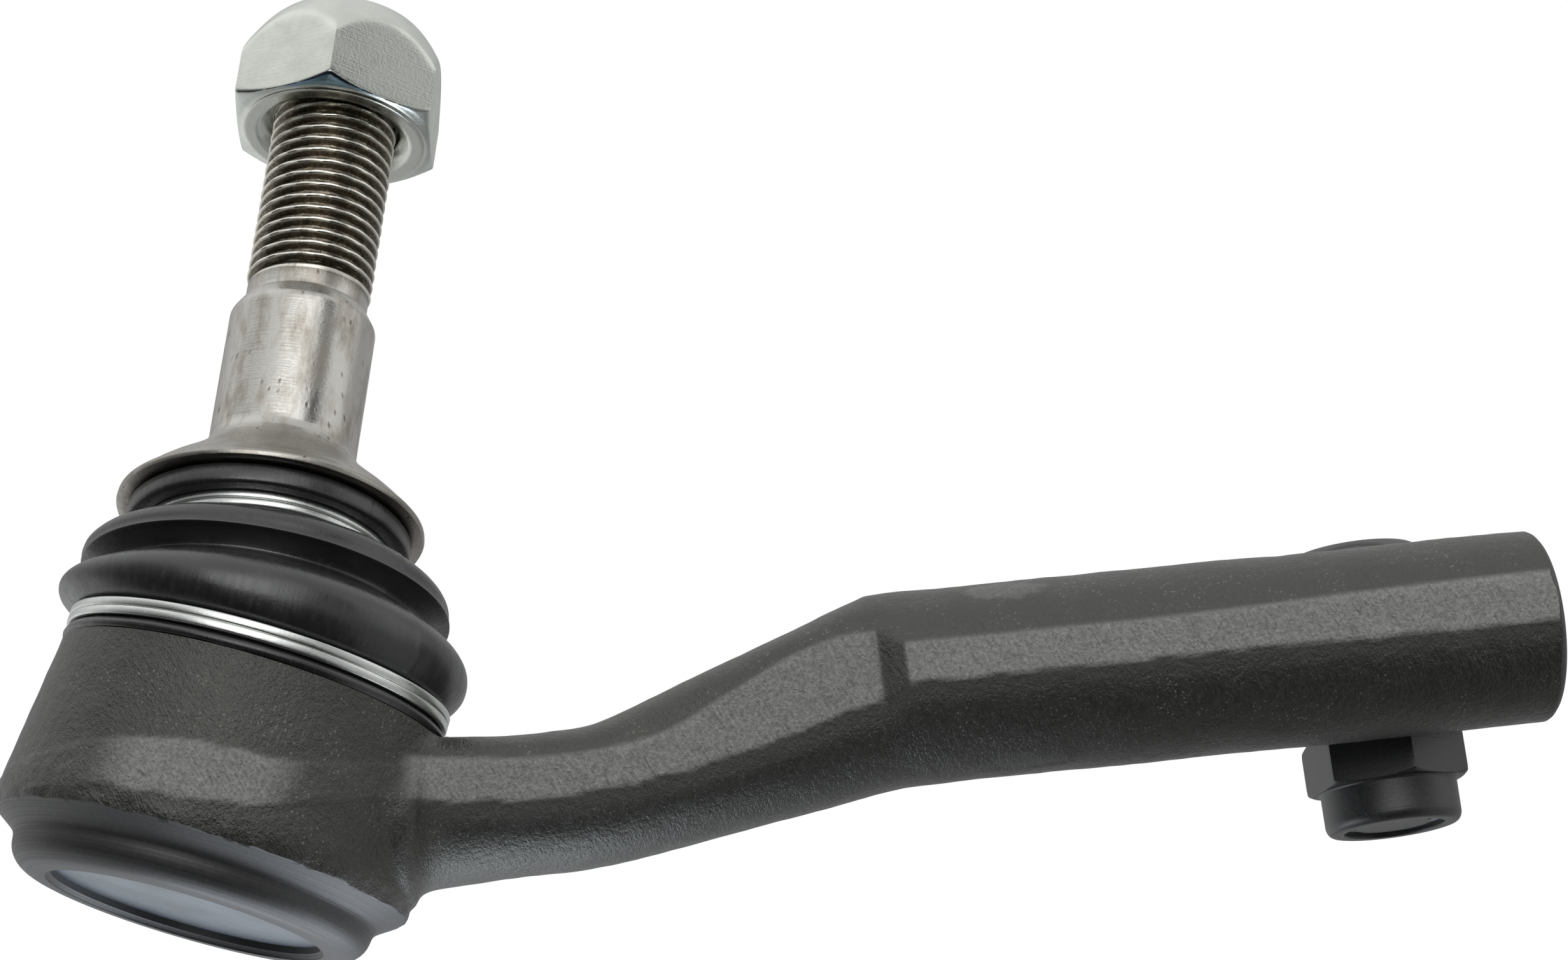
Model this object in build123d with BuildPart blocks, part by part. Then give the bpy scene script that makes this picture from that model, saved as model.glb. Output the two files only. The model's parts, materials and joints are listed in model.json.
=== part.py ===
"""Outer tie rod end: a forged S-bent arm between a ball joint and a clamped thread socket.

Frame: the origin is the centre of the threaded socket's mouth, +X runs along the socket and out of
its mouth, +Z is up towards the stud's side, and the arm bends in the XZ plane. The ball joint's
housing lies at -X with its axis leaning towards the socket. Millimetres throughout.
"""
import os
from math import cos, pi, radians, sin

from build123d import *

# ---- Driving dimensions -------------------------------------------------------------------------

# Where the ball sits, seen from the socket's mouth
ball_reach = 143.0
ball_drop = 0.7
housing_lean = 22.0

# The stud's pose at rest, against the housing's axis
stud_tilt = 14.6
stud_tilt_direction = 123.4

# Running and assembly clearances
running_gap = 0.06
seat_gap = 0.02

# Threaded socket
tube_radius = 10.5
arm_end = -74.4
tube_start = -71.6
socket_radius = 6.25
socket_depth = 57.0
mouth_chamfer = 0.8
tube_flat_distance = 10.22

# Split clamp at the socket's mouth
pinch_x = -14.9
pinch_y = 17.5
ear_radius = 9.0
ear_back = -29.4
ear_shoulder_y = 13.6
ear_front = -2.5
ear_front_y = 17.3
ear_half_height = 7.0
slot_width = 2.6
slot_length = 34.0
slot_end_radius = 2.4
pinch_thread_radius = 5.0
pinch_hole_radius = 5.25
pinch_head_height = 6.4
pinch_head_edge = 0.3
pinch_bolt_length = 24.6
pinch_across_flats = 16.0
pinch_nut_height = 11.0
pinch_nut_hex_height = 6.2
pinch_collar_radius = 7.7
pinch_head_turn = 45.3
pinch_nut_turn = 35.8

# Ball joint housing, measured along its axis from the ball's centre
ball_radius = 13.0
bore_radius = 16.0
shoulder_height = 6.6
mouth_radius = 12.7
housing_top = 12.2
mouth_top_radius = 15.7
neck_radius = 17.6
neck_groove_radius = 17.0
eye_top = 7.6
eye_top_radius = 20.7
eye_widest_radius = 22.4
eye_widest = -8.6
eye_bottom = -13.2
crimp_radius = 19.25
crimp_bottom = -16.9
cover_radius = 17.0
cover_window_radius = 14.6
cover_top = -14.1
cover_bottom = -15.6

# Ball stud, measured along its own axis from the ball's centre
ball_flat = 12.2
stud_neck_radius = 7.5
boot_seat_radius = 10.6
boot_seat_start = 21.6
flange_radius = 16.75
flange_bottom = 28.0
flange_edge = 0.9
flange_dome_radius = 12.9
flange_dome_height = 32.1
shank_radius = 8.1
shank_start = 36.6
shank_end = 52.9
thread_radius = 6.95
thread_relief_radius = 6.75
relief_start = 54.7
thread_start = 57.4
stud_tip = 89.6

# Stud nut: hexagon, height and the pocket for its locking ring
stud_nut_across_flats = 22.0
stud_nut_seat = 77.4
stud_nut_height = 14.0
stud_nut_hex_top = 7.6
stud_nut_corner_turn = -5.0
stud_nut_dome_radius = 8.6

# Dust boot
boot_wall = 1.5
lower_bead_radius = 19.8
lower_lip_radius = 20.9
upper_neck_radius = 12.9
upper_collar_radius = 15.4
lower_wire_radius = 0.5
upper_wire_radius = 0.45
lower_ring_height = 10.05
upper_ring_height = 24.5

# ---- Directions and planes ----------------------------------------------------------------------

lean = radians(housing_lean)
ball_centre = Vector(-ball_reach, 0, -ball_drop)
housing_axis = Vector(sin(lean), 0, cos(lean))
housing_side = Vector(cos(lean), 0, -sin(lean))

tilt = radians(stud_tilt)
tilt_turn = radians(stud_tilt_direction)
tilt_side = housing_side * cos(tilt_turn) + Vector(0, 1, 0) * sin(tilt_turn)
stud_axis = housing_axis * cos(tilt) + tilt_side * sin(tilt)
stud_side = tilt_side * cos(tilt) - housing_axis * sin(tilt)


def section_plane(radial, axis):
    """Plane through the ball's centre whose X is a radius and whose Y runs along the axis."""
    return Plane(origin=ball_centre, x_dir=radial, z_dir=radial.cross(axis))


def leaning_plane(share, height):
    """Plane across the boot, its normal turned by a share of the tilt from housing to stud."""
    angle = tilt * share
    normal = housing_axis * cos(angle) + tilt_side * sin(angle)
    radial = tilt_side * cos(angle) - housing_axis * sin(angle)
    return Plane(origin=ball_centre + normal * height, x_dir=radial, z_dir=normal)


housing_section = section_plane(housing_side, housing_axis)
stud_section = section_plane(stud_side, stud_axis)
housing_line = Axis(ball_centre, housing_axis)
stud_line = Axis(ball_centre, stud_axis)


def across_housing(height):
    """Plane across the housing's axis at a height above the ball's centre."""
    return Plane(origin=ball_centre + housing_axis * height, x_dir=housing_side, z_dir=housing_axis)


def across_stud(height):
    """Plane across the stud's axis at a height above the ball's centre, X facing the front."""
    front = Vector(0, -1, 0)
    facing = (front - stud_axis * front.dot(stud_axis)).normalized()
    return Plane(origin=ball_centre + stud_axis * height, x_dir=facing, z_dir=stud_axis)


def corner_radius(across_flats):
    """Radius over a hexagon's corners."""
    return across_flats / 2 / cos(pi / 6)


# ---- Forging ------------------------------------------------------------------------------------

# Arm sections: x, top, upper and lower edge of the flat sides, bottom, half width
arm_sections = (
    (-131.0, -0.8, -4.6, -9.0, -17.0, 8.8),
    (-122.0, -0.7, -4.3, -8.7, -16.2, 8.6),
    (-112.0, -1.2, -5.3, -9.4, -15.8, 8.5),
    (-105.0, -0.8, -5.1, -9.1, -15.6, 8.5),
    (-98.0, 1.6, -3.9, -8.2, -14.7, 8.5),
    (-91.0, 4.2, -0.7, -6.9, -13.5, 8.6),
    (-83.0, 7.0, 3.0, -4.8, -12.2, 8.7),
    (-77.0, 9.3, 4.4, -3.3, -11.2, 8.8),
    (arm_end, 10.2, 4.4, -2.8, -10.8, 8.8),
)


def arm_face(x, top, flat_top, flat_bottom, bottom, half_width):
    """Section across the arm: rounded above and below flat sides, where the dies part."""
    with BuildSketch(Plane.YZ.offset(x)) as outline:
        with BuildLine():
            Line((half_width, flat_bottom), (half_width, flat_top))
            EllipticalCenterArc((0, flat_top), half_width, top - flat_top, 0, arc_size=180)
            Line((-half_width, flat_top), (-half_width, flat_bottom))
            EllipticalCenterArc(
                (0, flat_bottom), half_width, flat_bottom - bottom, 180, arc_size=180
            )
        make_face()
    return outline.sketch.face()


arm_faces = [arm_face(*section) for section in arm_sections]

# Socket tube, round with a narrow flat along each side
with BuildSketch(Plane.YZ.offset(tube_start)) as tube_profile:
    Circle(tube_radius)
    Rectangle(2 * tube_flat_distance, 4 * tube_radius, mode=Mode.INTERSECT)
tube_face = tube_profile.sketch.face()

with BuildPart() as forging:
    # Arm, a short step out to the tube, and the tube with its chamfered mouth
    loft(sections=arm_faces)
    loft(sections=(arm_faces[-1], tube_face), ruled=True)
    extrude(tube_face, amount=-tube_start)
    with BuildSketch(Plane.XY):
        with BuildLine():
            Polyline(
                (-mouth_chamfer - 1, tube_radius + 1),
                (1, tube_radius - mouth_chamfer - 1),
                (1, tube_radius + 1),
                close=True,
            )
        make_face()
    revolve(axis=Axis.X, mode=Mode.SUBTRACT)

    # Turned clearance for the boot's lip where the arm meets the eye
    with BuildSketch(across_housing(eye_top)):
        Circle(lower_lip_radius + 0.6)
    extrude(amount=eye_top, mode=Mode.SUBTRACT)

    # Eye around the ball, with the neck for the boot and the turned ring that holds the cover
    with BuildSketch(housing_section):
        with BuildLine():
            Polyline(
                (0, crimp_bottom),
                (crimp_radius - 1.6, crimp_bottom),
                (crimp_radius, crimp_bottom + 1.6),
                (crimp_radius, eye_bottom),
                (crimp_radius + 1.2, eye_bottom),
                (eye_widest_radius, eye_widest - 2.4),
                (eye_widest_radius, eye_widest),
                (eye_top_radius, eye_top),
                (neck_radius, eye_top),
                (neck_radius, eye_top + 1.2),
                (neck_groove_radius, eye_top + 1.8),
                (neck_groove_radius, housing_top - 1.4),
                (neck_radius, housing_top - 0.8),
                (neck_radius, housing_top),
                (0, housing_top),
                close=True,
            )
        make_face()
    revolve(axis=housing_line)

    # Clamp ears behind the socket's mouth: broad at the tube, round about the bolt
    with BuildSketch(Plane.XY.offset(-ear_half_height)):
        with Locations((pinch_x, pinch_y)):
            Circle(ear_radius)
        with BuildLine():
            Polyline(
                (ear_back, 0),
                (ear_back, ear_shoulder_y),
                (pinch_x - ear_radius, pinch_y),
                (pinch_x + ear_radius * cos(radians(45)), pinch_y + ear_radius * sin(radians(45))),
                (ear_front, ear_front_y),
                (ear_front, 0),
                close=True,
            )
        make_face()
    extrude(amount=2 * ear_half_height)

    # Socket bore, the slot that lets the clamp close, and the bolt's hole
    with BuildSketch(Plane.YZ.offset(-socket_depth)):
        Circle(socket_radius)
    extrude(amount=socket_depth + 1, mode=Mode.SUBTRACT)
    with BuildSketch(Plane.XY.offset(-slot_width / 2)):
        with Locations((-slot_length / 2 + 1, 2 * tube_radius)):
            Rectangle(slot_length + 2, 4 * tube_radius)
    extrude(amount=slot_width, mode=Mode.SUBTRACT)
    with BuildSketch(Plane.XZ):
        with Locations((-slot_length, 0)):
            Circle(slot_end_radius)
    extrude(amount=-2 * tube_radius, mode=Mode.SUBTRACT)
    with BuildSketch(Plane.XY.offset(-2 * ear_half_height)):
        with Locations((pinch_x, pinch_y)):
            Circle(pinch_hole_radius)
    extrude(amount=4 * ear_half_height, mode=Mode.SUBTRACT)

    # Housing's inside: seat bore, flared mouth and the recess for the cover
    with BuildSketch(housing_section):
        with BuildLine():
            Polyline(
                (0, crimp_bottom - 1),
                (cover_window_radius, crimp_bottom - 1),
                (cover_window_radius, cover_bottom),
                (cover_radius + seat_gap, cover_bottom),
                (cover_radius + seat_gap, cover_top),
                (bore_radius, cover_top),
                (bore_radius, shoulder_height),
                (mouth_radius, shoulder_height),
                (mouth_radius, shoulder_height + 0.8),
                (mouth_top_radius, housing_top + 0.01),
                (0, housing_top + 0.01),
                close=True,
            )
        make_face()
    revolve(axis=housing_line, mode=Mode.SUBTRACT)

forging.part.label = "forging"

# ---- Inside the housing -------------------------------------------------------------------------

seat_radius = bore_radius - seat_gap
ball_seat_radius = ball_radius + running_gap
upper_seat_top = shoulder_height - seat_gap
upper_seat_bottom = 0.3
upper_seat_start_radius = 5.0
lower_seat_top = -0.3
lower_seat_bottom = -12.7
lower_seat_hole_radius = 5.5

with BuildPart() as upper_bearing_seat:
    with BuildSketch(housing_section):
        with BuildLine():
            Polyline(
                (upper_seat_start_radius, upper_seat_bottom),
                (seat_radius, upper_seat_bottom),
                (seat_radius, upper_seat_top),
                (upper_seat_start_radius, upper_seat_top),
                close=True,
            )
        make_face()
        Circle(ball_seat_radius, mode=Mode.SUBTRACT)
    revolve(axis=housing_line)
upper_bearing_seat.part.label = "upper_bearing_seat"

with BuildPart() as lower_bearing_seat:
    with BuildSketch(housing_section):
        with BuildLine():
            Polyline(
                (lower_seat_hole_radius, lower_seat_bottom),
                (seat_radius - 3.5, lower_seat_bottom),
                (seat_radius, lower_seat_bottom + 3.5),
                (seat_radius, lower_seat_top),
                (lower_seat_hole_radius, lower_seat_top),
                close=True,
            )
        make_face()
        Circle(ball_seat_radius, mode=Mode.SUBTRACT)
    revolve(axis=housing_line)
lower_bearing_seat.part.label = "lower_bearing_seat"

washer_thickness = 0.7
washer_inner_radius = 6.5
washer_outer_radius = 15.2

with BuildPart() as preload_spring_washer:
    with BuildSketch(housing_section):
        with BuildLine():
            Polyline(
                (washer_inner_radius, lower_seat_bottom - seat_gap),
                (washer_inner_radius, lower_seat_bottom - seat_gap - washer_thickness),
                (washer_outer_radius, cover_top + seat_gap),
                (washer_outer_radius, cover_top + seat_gap + washer_thickness),
                close=True,
            )
        make_face()
    revolve(axis=housing_line)
preload_spring_washer.part.label = "preload_spring_washer"

with BuildPart() as cover_plate:
    with BuildSketch(across_housing(cover_bottom)):
        Circle(cover_radius)
    extrude(amount=cover_top - cover_bottom - seat_gap / 2)
    chamfer(cover_plate.edges().sort_by(housing_line)[-1], length=0.3)
cover_plate.part.label = "cover_plate"

# ---- Ball stud ----------------------------------------------------------------------------------

ball_neck_height = (ball_radius**2 - stud_neck_radius**2) ** 0.5
ball_flat_radius = (ball_radius**2 - ball_flat**2) ** 0.5

with BuildPart() as ball_stud:
    with BuildSketch(stud_section):
        with BuildLine():
            Line((0, -ball_flat), (ball_flat_radius, -ball_flat))
            ThreePointArc(
                (ball_flat_radius, -ball_flat),
                (ball_radius, 0),
                (stud_neck_radius, ball_neck_height),
            )
            Polyline(
                (stud_neck_radius, ball_neck_height),
                (stud_neck_radius, 16.0),
                (boot_seat_radius, boot_seat_start),
                (boot_seat_radius, flange_bottom),
                (flange_radius, flange_bottom),
                (flange_radius, flange_bottom + flange_edge),
            )
            ThreePointArc(
                (flange_radius, flange_bottom + flange_edge),
                (flange_dome_radius, flange_dome_height),
                (shank_radius, shank_start),
            )
            Polyline(
                (shank_radius, shank_start),
                (shank_radius, shank_end),
                (thread_relief_radius + 0.2, relief_start),
                (thread_relief_radius, thread_start),
                (thread_radius, thread_start + 0.3),
                (thread_radius, stud_tip - 1.2),
                (thread_radius - 1.2, stud_tip),
                (0, stud_tip),
                (0, -ball_flat),
            )
        make_face()
    revolve(axis=stud_line)
ball_stud.part.label = "ball_stud"

# ---- Stud nut and its locking ring --------------------------------------------------------------

nut_bore_radius = thread_radius + running_gap
insert_bottom = stud_nut_seat + stud_nut_height - 4.2
insert_top = stud_nut_seat + stud_nut_height - 1.0
insert_outer_radius = 9.2
stud_nut_corner = corner_radius(stud_nut_across_flats)
stud_nut_top = stud_nut_seat + stud_nut_height

with BuildPart() as stud_nut:
    with BuildSketch(across_stud(stud_nut_seat)):
        RegularPolygon(stud_nut_corner, 6, rotation=stud_nut_corner_turn)
    extrude(amount=stud_nut_height)
    # Chamfered lower corners and the rounded top, cut as one turned outline
    with BuildSketch(stud_section):
        with BuildLine():
            Polyline(
                (0, stud_nut_seat),
                (stud_nut_across_flats / 2 - 0.6, stud_nut_seat),
                (stud_nut_corner, stud_nut_seat + 1.3),
                (stud_nut_corner, stud_nut_seat + stud_nut_hex_top),
            )
            ThreePointArc(
                (stud_nut_corner, stud_nut_seat + stud_nut_hex_top),
                (11.1, stud_nut_top - 3.0),
                (stud_nut_dome_radius, stud_nut_top),
            )
            Polyline((stud_nut_dome_radius, stud_nut_top), (0, stud_nut_top), (0, stud_nut_seat))
        make_face()
    revolve(axis=stud_line, mode=Mode.INTERSECT)
    # Bore with its countersink, and the pocket for the locking ring
    with BuildSketch(stud_section):
        with BuildLine():
            Polyline(
                (0, stud_nut_seat - 1),
                (8.6, stud_nut_seat - 1),
                (8.6, stud_nut_seat),
                (nut_bore_radius, stud_nut_seat + 1.5),
                (nut_bore_radius, insert_bottom),
                (insert_outer_radius, insert_bottom),
                (insert_outer_radius, insert_top),
                (nut_bore_radius + 0.6, insert_top),
                (nut_bore_radius + 0.6, stud_nut_top + 1),
                (0, stud_nut_top + 1),
                close=True,
            )
        make_face()
    revolve(axis=stud_line, mode=Mode.SUBTRACT)
stud_nut.part.label = "stud_nut"

with BuildPart() as stud_nut_insert:
    with BuildSketch(across_stud(insert_bottom + seat_gap)):
        Circle(insert_outer_radius - running_gap)
        Circle(nut_bore_radius, mode=Mode.SUBTRACT)
    extrude(amount=insert_top - insert_bottom - 2 * seat_gap)
stud_nut_insert.part.label = "stud_nut_insert"

# ---- Dust boot and its two wire rings -----------------------------------------------------------

# Boot sections: share of the tilt, height along the leaning axis, outer radius
boot_sections = (
    (0.0, 11.3, 20.2),
    (0.30, 13.4, 21.9),
    (0.45, 15.6, 22.0),
    (0.60, 18.2, 19.0),
    (0.75, 20.6, 19.4),
    (0.90, 22.0, 17.6),
    (1.0, 23.4, upper_neck_radius + 0.3),
)

with BuildPart() as dust_boot:
    for share, height, radius in boot_sections:
        with BuildSketch(leaning_plane(share, height)):
            Circle(radius)
    loft(ruled=True)
    for share, height, radius in boot_sections:
        with BuildSketch(leaning_plane(share, height)):
            Circle(radius - boot_wall)
    loft(ruled=True, mode=Mode.SUBTRACT)
    # Lower bead around the housing's neck
    with BuildSketch(housing_section):
        with BuildLine():
            Polyline(
                (neck_radius + seat_gap, eye_top + seat_gap),
                (lower_lip_radius, eye_top + seat_gap),
                (lower_lip_radius, eye_top + 1.3),
                (lower_bead_radius, eye_top + 1.4),
                (lower_bead_radius, 11.1),
                (20.2, 11.32),
                (18.4, 11.7),
                (neck_radius + seat_gap, 11.7),
                close=True,
            )
        make_face()
    revolve(axis=housing_line)
    # Upper collar around the stud's seat, under the flange
    with BuildSketch(stud_section):
        with BuildLine():
            Polyline(
                (boot_seat_radius + seat_gap, 22.4),
                (upper_neck_radius - 0.4, 22.4),
                (upper_neck_radius + 0.3, 23.3),
                (upper_neck_radius, 23.6),
                (upper_neck_radius, 25.4),
                (upper_collar_radius, 25.9),
                (upper_collar_radius, 27.4),
                (boot_seat_radius + seat_gap, flange_bottom - seat_gap),
                close=True,
            )
        make_face()
    revolve(axis=stud_line)
dust_boot.part.label = "dust_boot"


def wire_ring(section, line, radius, height, wire):
    """Two close turns of spring wire as one ring, its wire resting on the given radius."""
    with BuildPart() as ring:
        with BuildSketch(section):
            with Locations((radius + wire + seat_gap, height - wire + 0.03)):
                Circle(wire)
            with Locations((radius + wire + seat_gap, height + wire - 0.03)):
                Circle(wire)
        revolve(axis=line)
    return ring


lower_clamp_ring = wire_ring(
    housing_section, housing_line, lower_bead_radius, lower_ring_height, lower_wire_radius
)
lower_clamp_ring.part.label = "lower_clamp_ring"

upper_clamp_ring = wire_ring(
    stud_section, stud_line, upper_neck_radius, upper_ring_height, upper_wire_radius
)
upper_clamp_ring.part.label = "upper_clamp_ring"

# ---- Pinch bolt, nut and locking ring -----------------------------------------------------------

pinch_corner = corner_radius(pinch_across_flats)
pinch_head_top = ear_half_height + pinch_head_height
pinch_nut_top = -ear_half_height
pinch_nut_bottom = pinch_nut_top - pinch_nut_height
pinch_hex_bottom = pinch_nut_top - pinch_nut_hex_height
pinch_bore_radius = pinch_thread_radius + running_gap
pinch_insert_radius = 6.5
pinch_insert_bottom = pinch_nut_bottom + 0.8
pinch_insert_top = pinch_nut_bottom + 3.6
pinch_section = Plane(origin=(pinch_x, pinch_y, 0), x_dir=(1, 0, 0), z_dir=(0, -1, 0))
pinch_line = Axis((pinch_x, pinch_y, 0), (0, 0, 1))

with BuildPart() as pinch_bolt:
    with BuildSketch(Plane.XY.offset(ear_half_height)):
        with Locations((pinch_x, pinch_y)):
            RegularPolygon(pinch_corner, 6, rotation=pinch_head_turn)
    extrude(amount=pinch_head_height)
    # Slightly broken corners of the head
    with BuildSketch(pinch_section):
        with BuildLine():
            Polyline(
                (0, ear_half_height),
                (pinch_corner, ear_half_height),
                (pinch_corner, pinch_head_top - pinch_head_edge),
                (pinch_corner - pinch_head_edge, pinch_head_top),
                (0, pinch_head_top),
                close=True,
            )
        make_face()
    revolve(axis=pinch_line, mode=Mode.INTERSECT)
    with BuildSketch(Plane.XY.offset(ear_half_height)):
        with Locations((pinch_x, pinch_y)):
            Circle(pinch_thread_radius)
    extrude(amount=-pinch_bolt_length)
    chamfer(pinch_bolt.edges().group_by(Axis.Z)[0], length=0.8)
pinch_bolt.part.label = "pinch_bolt"

with BuildPart() as pinch_nut:
    with BuildSketch(Plane.XY.offset(pinch_hex_bottom)):
        with Locations((pinch_x, pinch_y)):
            RegularPolygon(pinch_corner, 6, rotation=pinch_nut_turn)
    extrude(amount=pinch_nut_hex_height)
    with BuildSketch(pinch_section):
        with BuildLine():
            Polyline(
                (0, pinch_hex_bottom),
                (pinch_corner - 0.5, pinch_hex_bottom),
                (pinch_corner, pinch_hex_bottom + 0.4),
                (pinch_corner, pinch_nut_top - 0.8),
                (pinch_across_flats / 2 - 0.3, pinch_nut_top),
                (0, pinch_nut_top),
                close=True,
            )
        make_face()
    revolve(axis=pinch_line, mode=Mode.INTERSECT)
    # Round collar with the pocket for its locking ring
    with BuildSketch(Plane.XY.offset(pinch_nut_bottom)):
        with Locations((pinch_x, pinch_y)):
            Circle(pinch_collar_radius)
    extrude(amount=pinch_nut_height - pinch_nut_hex_height)
    with BuildSketch(pinch_section):
        with BuildLine():
            Polyline(
                (0, pinch_nut_bottom - 1),
                (pinch_bore_radius + 0.6, pinch_nut_bottom - 1),
                (pinch_bore_radius + 0.6, pinch_insert_bottom),
                (pinch_insert_radius, pinch_insert_bottom),
                (pinch_insert_radius, pinch_insert_top),
                (pinch_bore_radius, pinch_insert_top),
                (pinch_bore_radius, pinch_nut_top - 0.8),
                (pinch_bore_radius + 0.8, pinch_nut_top + 0.01),
                (0, pinch_nut_top + 0.01),
                close=True,
            )
        make_face()
    revolve(axis=pinch_line, mode=Mode.SUBTRACT)
pinch_nut.part.label = "pinch_nut"

with BuildPart() as pinch_nut_insert:
    with BuildSketch(Plane.XY.offset(pinch_insert_bottom + seat_gap)):
        with Locations((pinch_x, pinch_y)):
            Circle(pinch_insert_radius - running_gap)
            Circle(pinch_bore_radius, mode=Mode.SUBTRACT)
    extrude(amount=pinch_insert_top - pinch_insert_bottom - 2 * seat_gap)
pinch_nut_insert.part.label = "pinch_nut_insert"

# ---- Export -------------------------------------------------------------------------------------

os.makedirs("parts", exist_ok=True)
export_step(forging.part, "parts/forging.step")
export_step(upper_bearing_seat.part, "parts/upper_bearing_seat.step")
export_step(lower_bearing_seat.part, "parts/lower_bearing_seat.step")
export_step(preload_spring_washer.part, "parts/preload_spring_washer.step")
export_step(cover_plate.part, "parts/cover_plate.step")
export_step(ball_stud.part, "parts/ball_stud.step")
export_step(stud_nut.part, "parts/stud_nut.step")
export_step(stud_nut_insert.part, "parts/stud_nut_insert.step")
export_step(dust_boot.part, "parts/dust_boot.step")
export_step(lower_clamp_ring.part, "parts/lower_clamp_ring.step")
export_step(upper_clamp_ring.part, "parts/upper_clamp_ring.step")
export_step(pinch_bolt.part, "parts/pinch_bolt.step")
export_step(pinch_nut.part, "parts/pinch_nut.step")
export_step(pinch_nut_insert.part, "parts/pinch_nut_insert.step")
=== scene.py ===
"""Looks of an outer tie rod end on its CAD frame: black forging, booted ball joint, stud and nuts."""

import json
from functools import partial
from math import cos, pi, radians, sin, tau

import bmesh
import bpy
import numpy as np
from mathutils import Matrix, Vector


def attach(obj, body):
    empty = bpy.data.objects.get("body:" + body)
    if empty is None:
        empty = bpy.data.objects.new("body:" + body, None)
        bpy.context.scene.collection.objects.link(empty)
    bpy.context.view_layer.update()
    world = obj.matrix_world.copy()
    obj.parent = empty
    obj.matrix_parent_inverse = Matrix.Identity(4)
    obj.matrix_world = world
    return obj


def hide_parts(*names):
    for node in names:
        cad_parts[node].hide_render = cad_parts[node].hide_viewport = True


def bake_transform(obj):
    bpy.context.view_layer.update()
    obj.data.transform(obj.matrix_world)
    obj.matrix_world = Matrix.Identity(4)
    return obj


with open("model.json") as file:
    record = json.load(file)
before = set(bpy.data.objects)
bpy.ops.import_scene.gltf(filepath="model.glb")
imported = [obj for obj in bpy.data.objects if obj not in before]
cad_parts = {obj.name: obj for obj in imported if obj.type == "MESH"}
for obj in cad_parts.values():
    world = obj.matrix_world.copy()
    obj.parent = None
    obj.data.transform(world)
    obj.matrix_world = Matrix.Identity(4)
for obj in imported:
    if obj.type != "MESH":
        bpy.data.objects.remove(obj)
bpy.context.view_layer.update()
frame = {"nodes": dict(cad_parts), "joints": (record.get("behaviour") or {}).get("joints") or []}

# ---- Directions, in millimetres, from the record's joints ----------------------------------------

MM = 0.001
joints = {joint["name"]: joint for joint in frame["joints"]}


def unit(vector):
    """A direction of length one."""
    vector = np.asarray(vector, dtype=float)
    return vector / np.linalg.norm(vector)


BALL = np.array(joints["stud_tilt"]["pos_m"]) / MM
HOUSING_UP = unit(joints["tilt_direction"]["axis"])
STUD_UP = unit(joints["stud_spin"]["axis"])
TILT_AXIS = unit(joints["stud_tilt"]["axis"])
TILT_SIDE = np.cross(TILT_AXIS, HOUSING_UP)
STUD_TILT = np.arccos(np.dot(HOUSING_UP, STUD_UP))
PINCH = np.array(joints["pinch_nut_turn"]["pos_m"]) / MM
NUT_SEAT = np.dot(np.array(joints["nut_turn"]["pos_m"]) / MM - BALL, STUD_UP)


class Place:
    """A local frame: an origin, an axis (local z) and the side that local x faces."""

    def __init__(self, origin, axis, side):
        self.origin = np.asarray(origin, dtype=float)
        self.z = unit(axis)
        side = np.asarray(side, dtype=float)
        self.x = unit(side - self.z * np.dot(side, self.z))
        self.y = np.cross(self.z, self.x)

    def out(self, points):
        """Local points in the row frame."""
        points = np.asarray(points, dtype=float)
        return (
            self.origin
            + points[..., 0:1] * self.x
            + points[..., 1:2] * self.y
            + points[..., 2:3] * self.z
        )

    def into(self, points):
        """Row-frame points in this local frame."""
        moved = np.asarray(points, dtype=float) - self.origin
        return np.stack((moved @ self.x, moved @ self.y, moved @ self.z), axis=-1)


BACK = (0.0, 1.0, 0.0)
HOUSING = Place(BALL, HOUSING_UP, BACK)
STUD = Place(BALL, STUD_UP, BACK)
TUBE = Place((0, 0, 0), (1, 0, 0), BACK)
CLAMP = Place((PINCH[0], PINCH[1], 0), (0, 0, 1), BACK)

# ---- Seeded noise --------------------------------------------------------------------------------


def lattice_value(cells, seed):
    """A fixed random number from -1 to 1 for each whole-numbered cell."""
    cells = cells.astype(np.int64).astype(np.uint32)
    mixed = cells[..., 0] * np.uint32(374761393) + cells[..., 1] * np.uint32(668265263)
    mixed = mixed + cells[..., 2] * np.uint32(2147483647) + np.uint32(seed * 2246822519 % 2**32)
    mixed = (mixed ^ (mixed >> np.uint32(13))) * np.uint32(1274126177)
    mixed = (mixed ^ (mixed >> np.uint32(16))) * np.uint32(2246822519)
    mixed = mixed ^ (mixed >> np.uint32(15))
    return mixed.astype(float) / 2**31 - 1.0


def noise(points, cell, seed):
    """Smooth noise from -1 to 1 over points in millimetres, with features of about one cell."""
    scaled = np.asarray(points, dtype=float) / cell
    base = np.floor(scaled)
    part = scaled - base
    part = part * part * (3 - 2 * part)
    total = np.zeros(scaled.shape[:-1])
    for corner in np.ndindex(2, 2, 2):
        corner = np.array(corner)
        weight = np.prod(np.where(corner, part, 1 - part), axis=-1)
        total += weight * lattice_value(base + corner, seed)
    return total


def noise_along(values, cell, seed):
    """The same smooth noise over single numbers."""
    values = np.asarray(values, dtype=float)
    return noise(np.stack((values, 0 * values + 0.37, 0 * values + 0.61), axis=-1), cell, seed)


def signed_power(values, power):
    """Values raised to a power, with their signs kept."""
    return np.sign(values) * np.abs(values) ** power


def smooth_step(low, high, values):
    """0 below low, 1 above high and a smooth rise between."""
    share = np.clip((np.asarray(values, dtype=float) - low) / (high - low), 0, 1)
    return share * share * (3 - 2 * share)


# ---- Meshes --------------------------------------------------------------------------------------


def linked(name, data):
    """A new object in the scene."""
    made = bpy.data.objects.new(name, data)
    bpy.context.scene.collection.objects.link(made)
    return made


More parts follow.
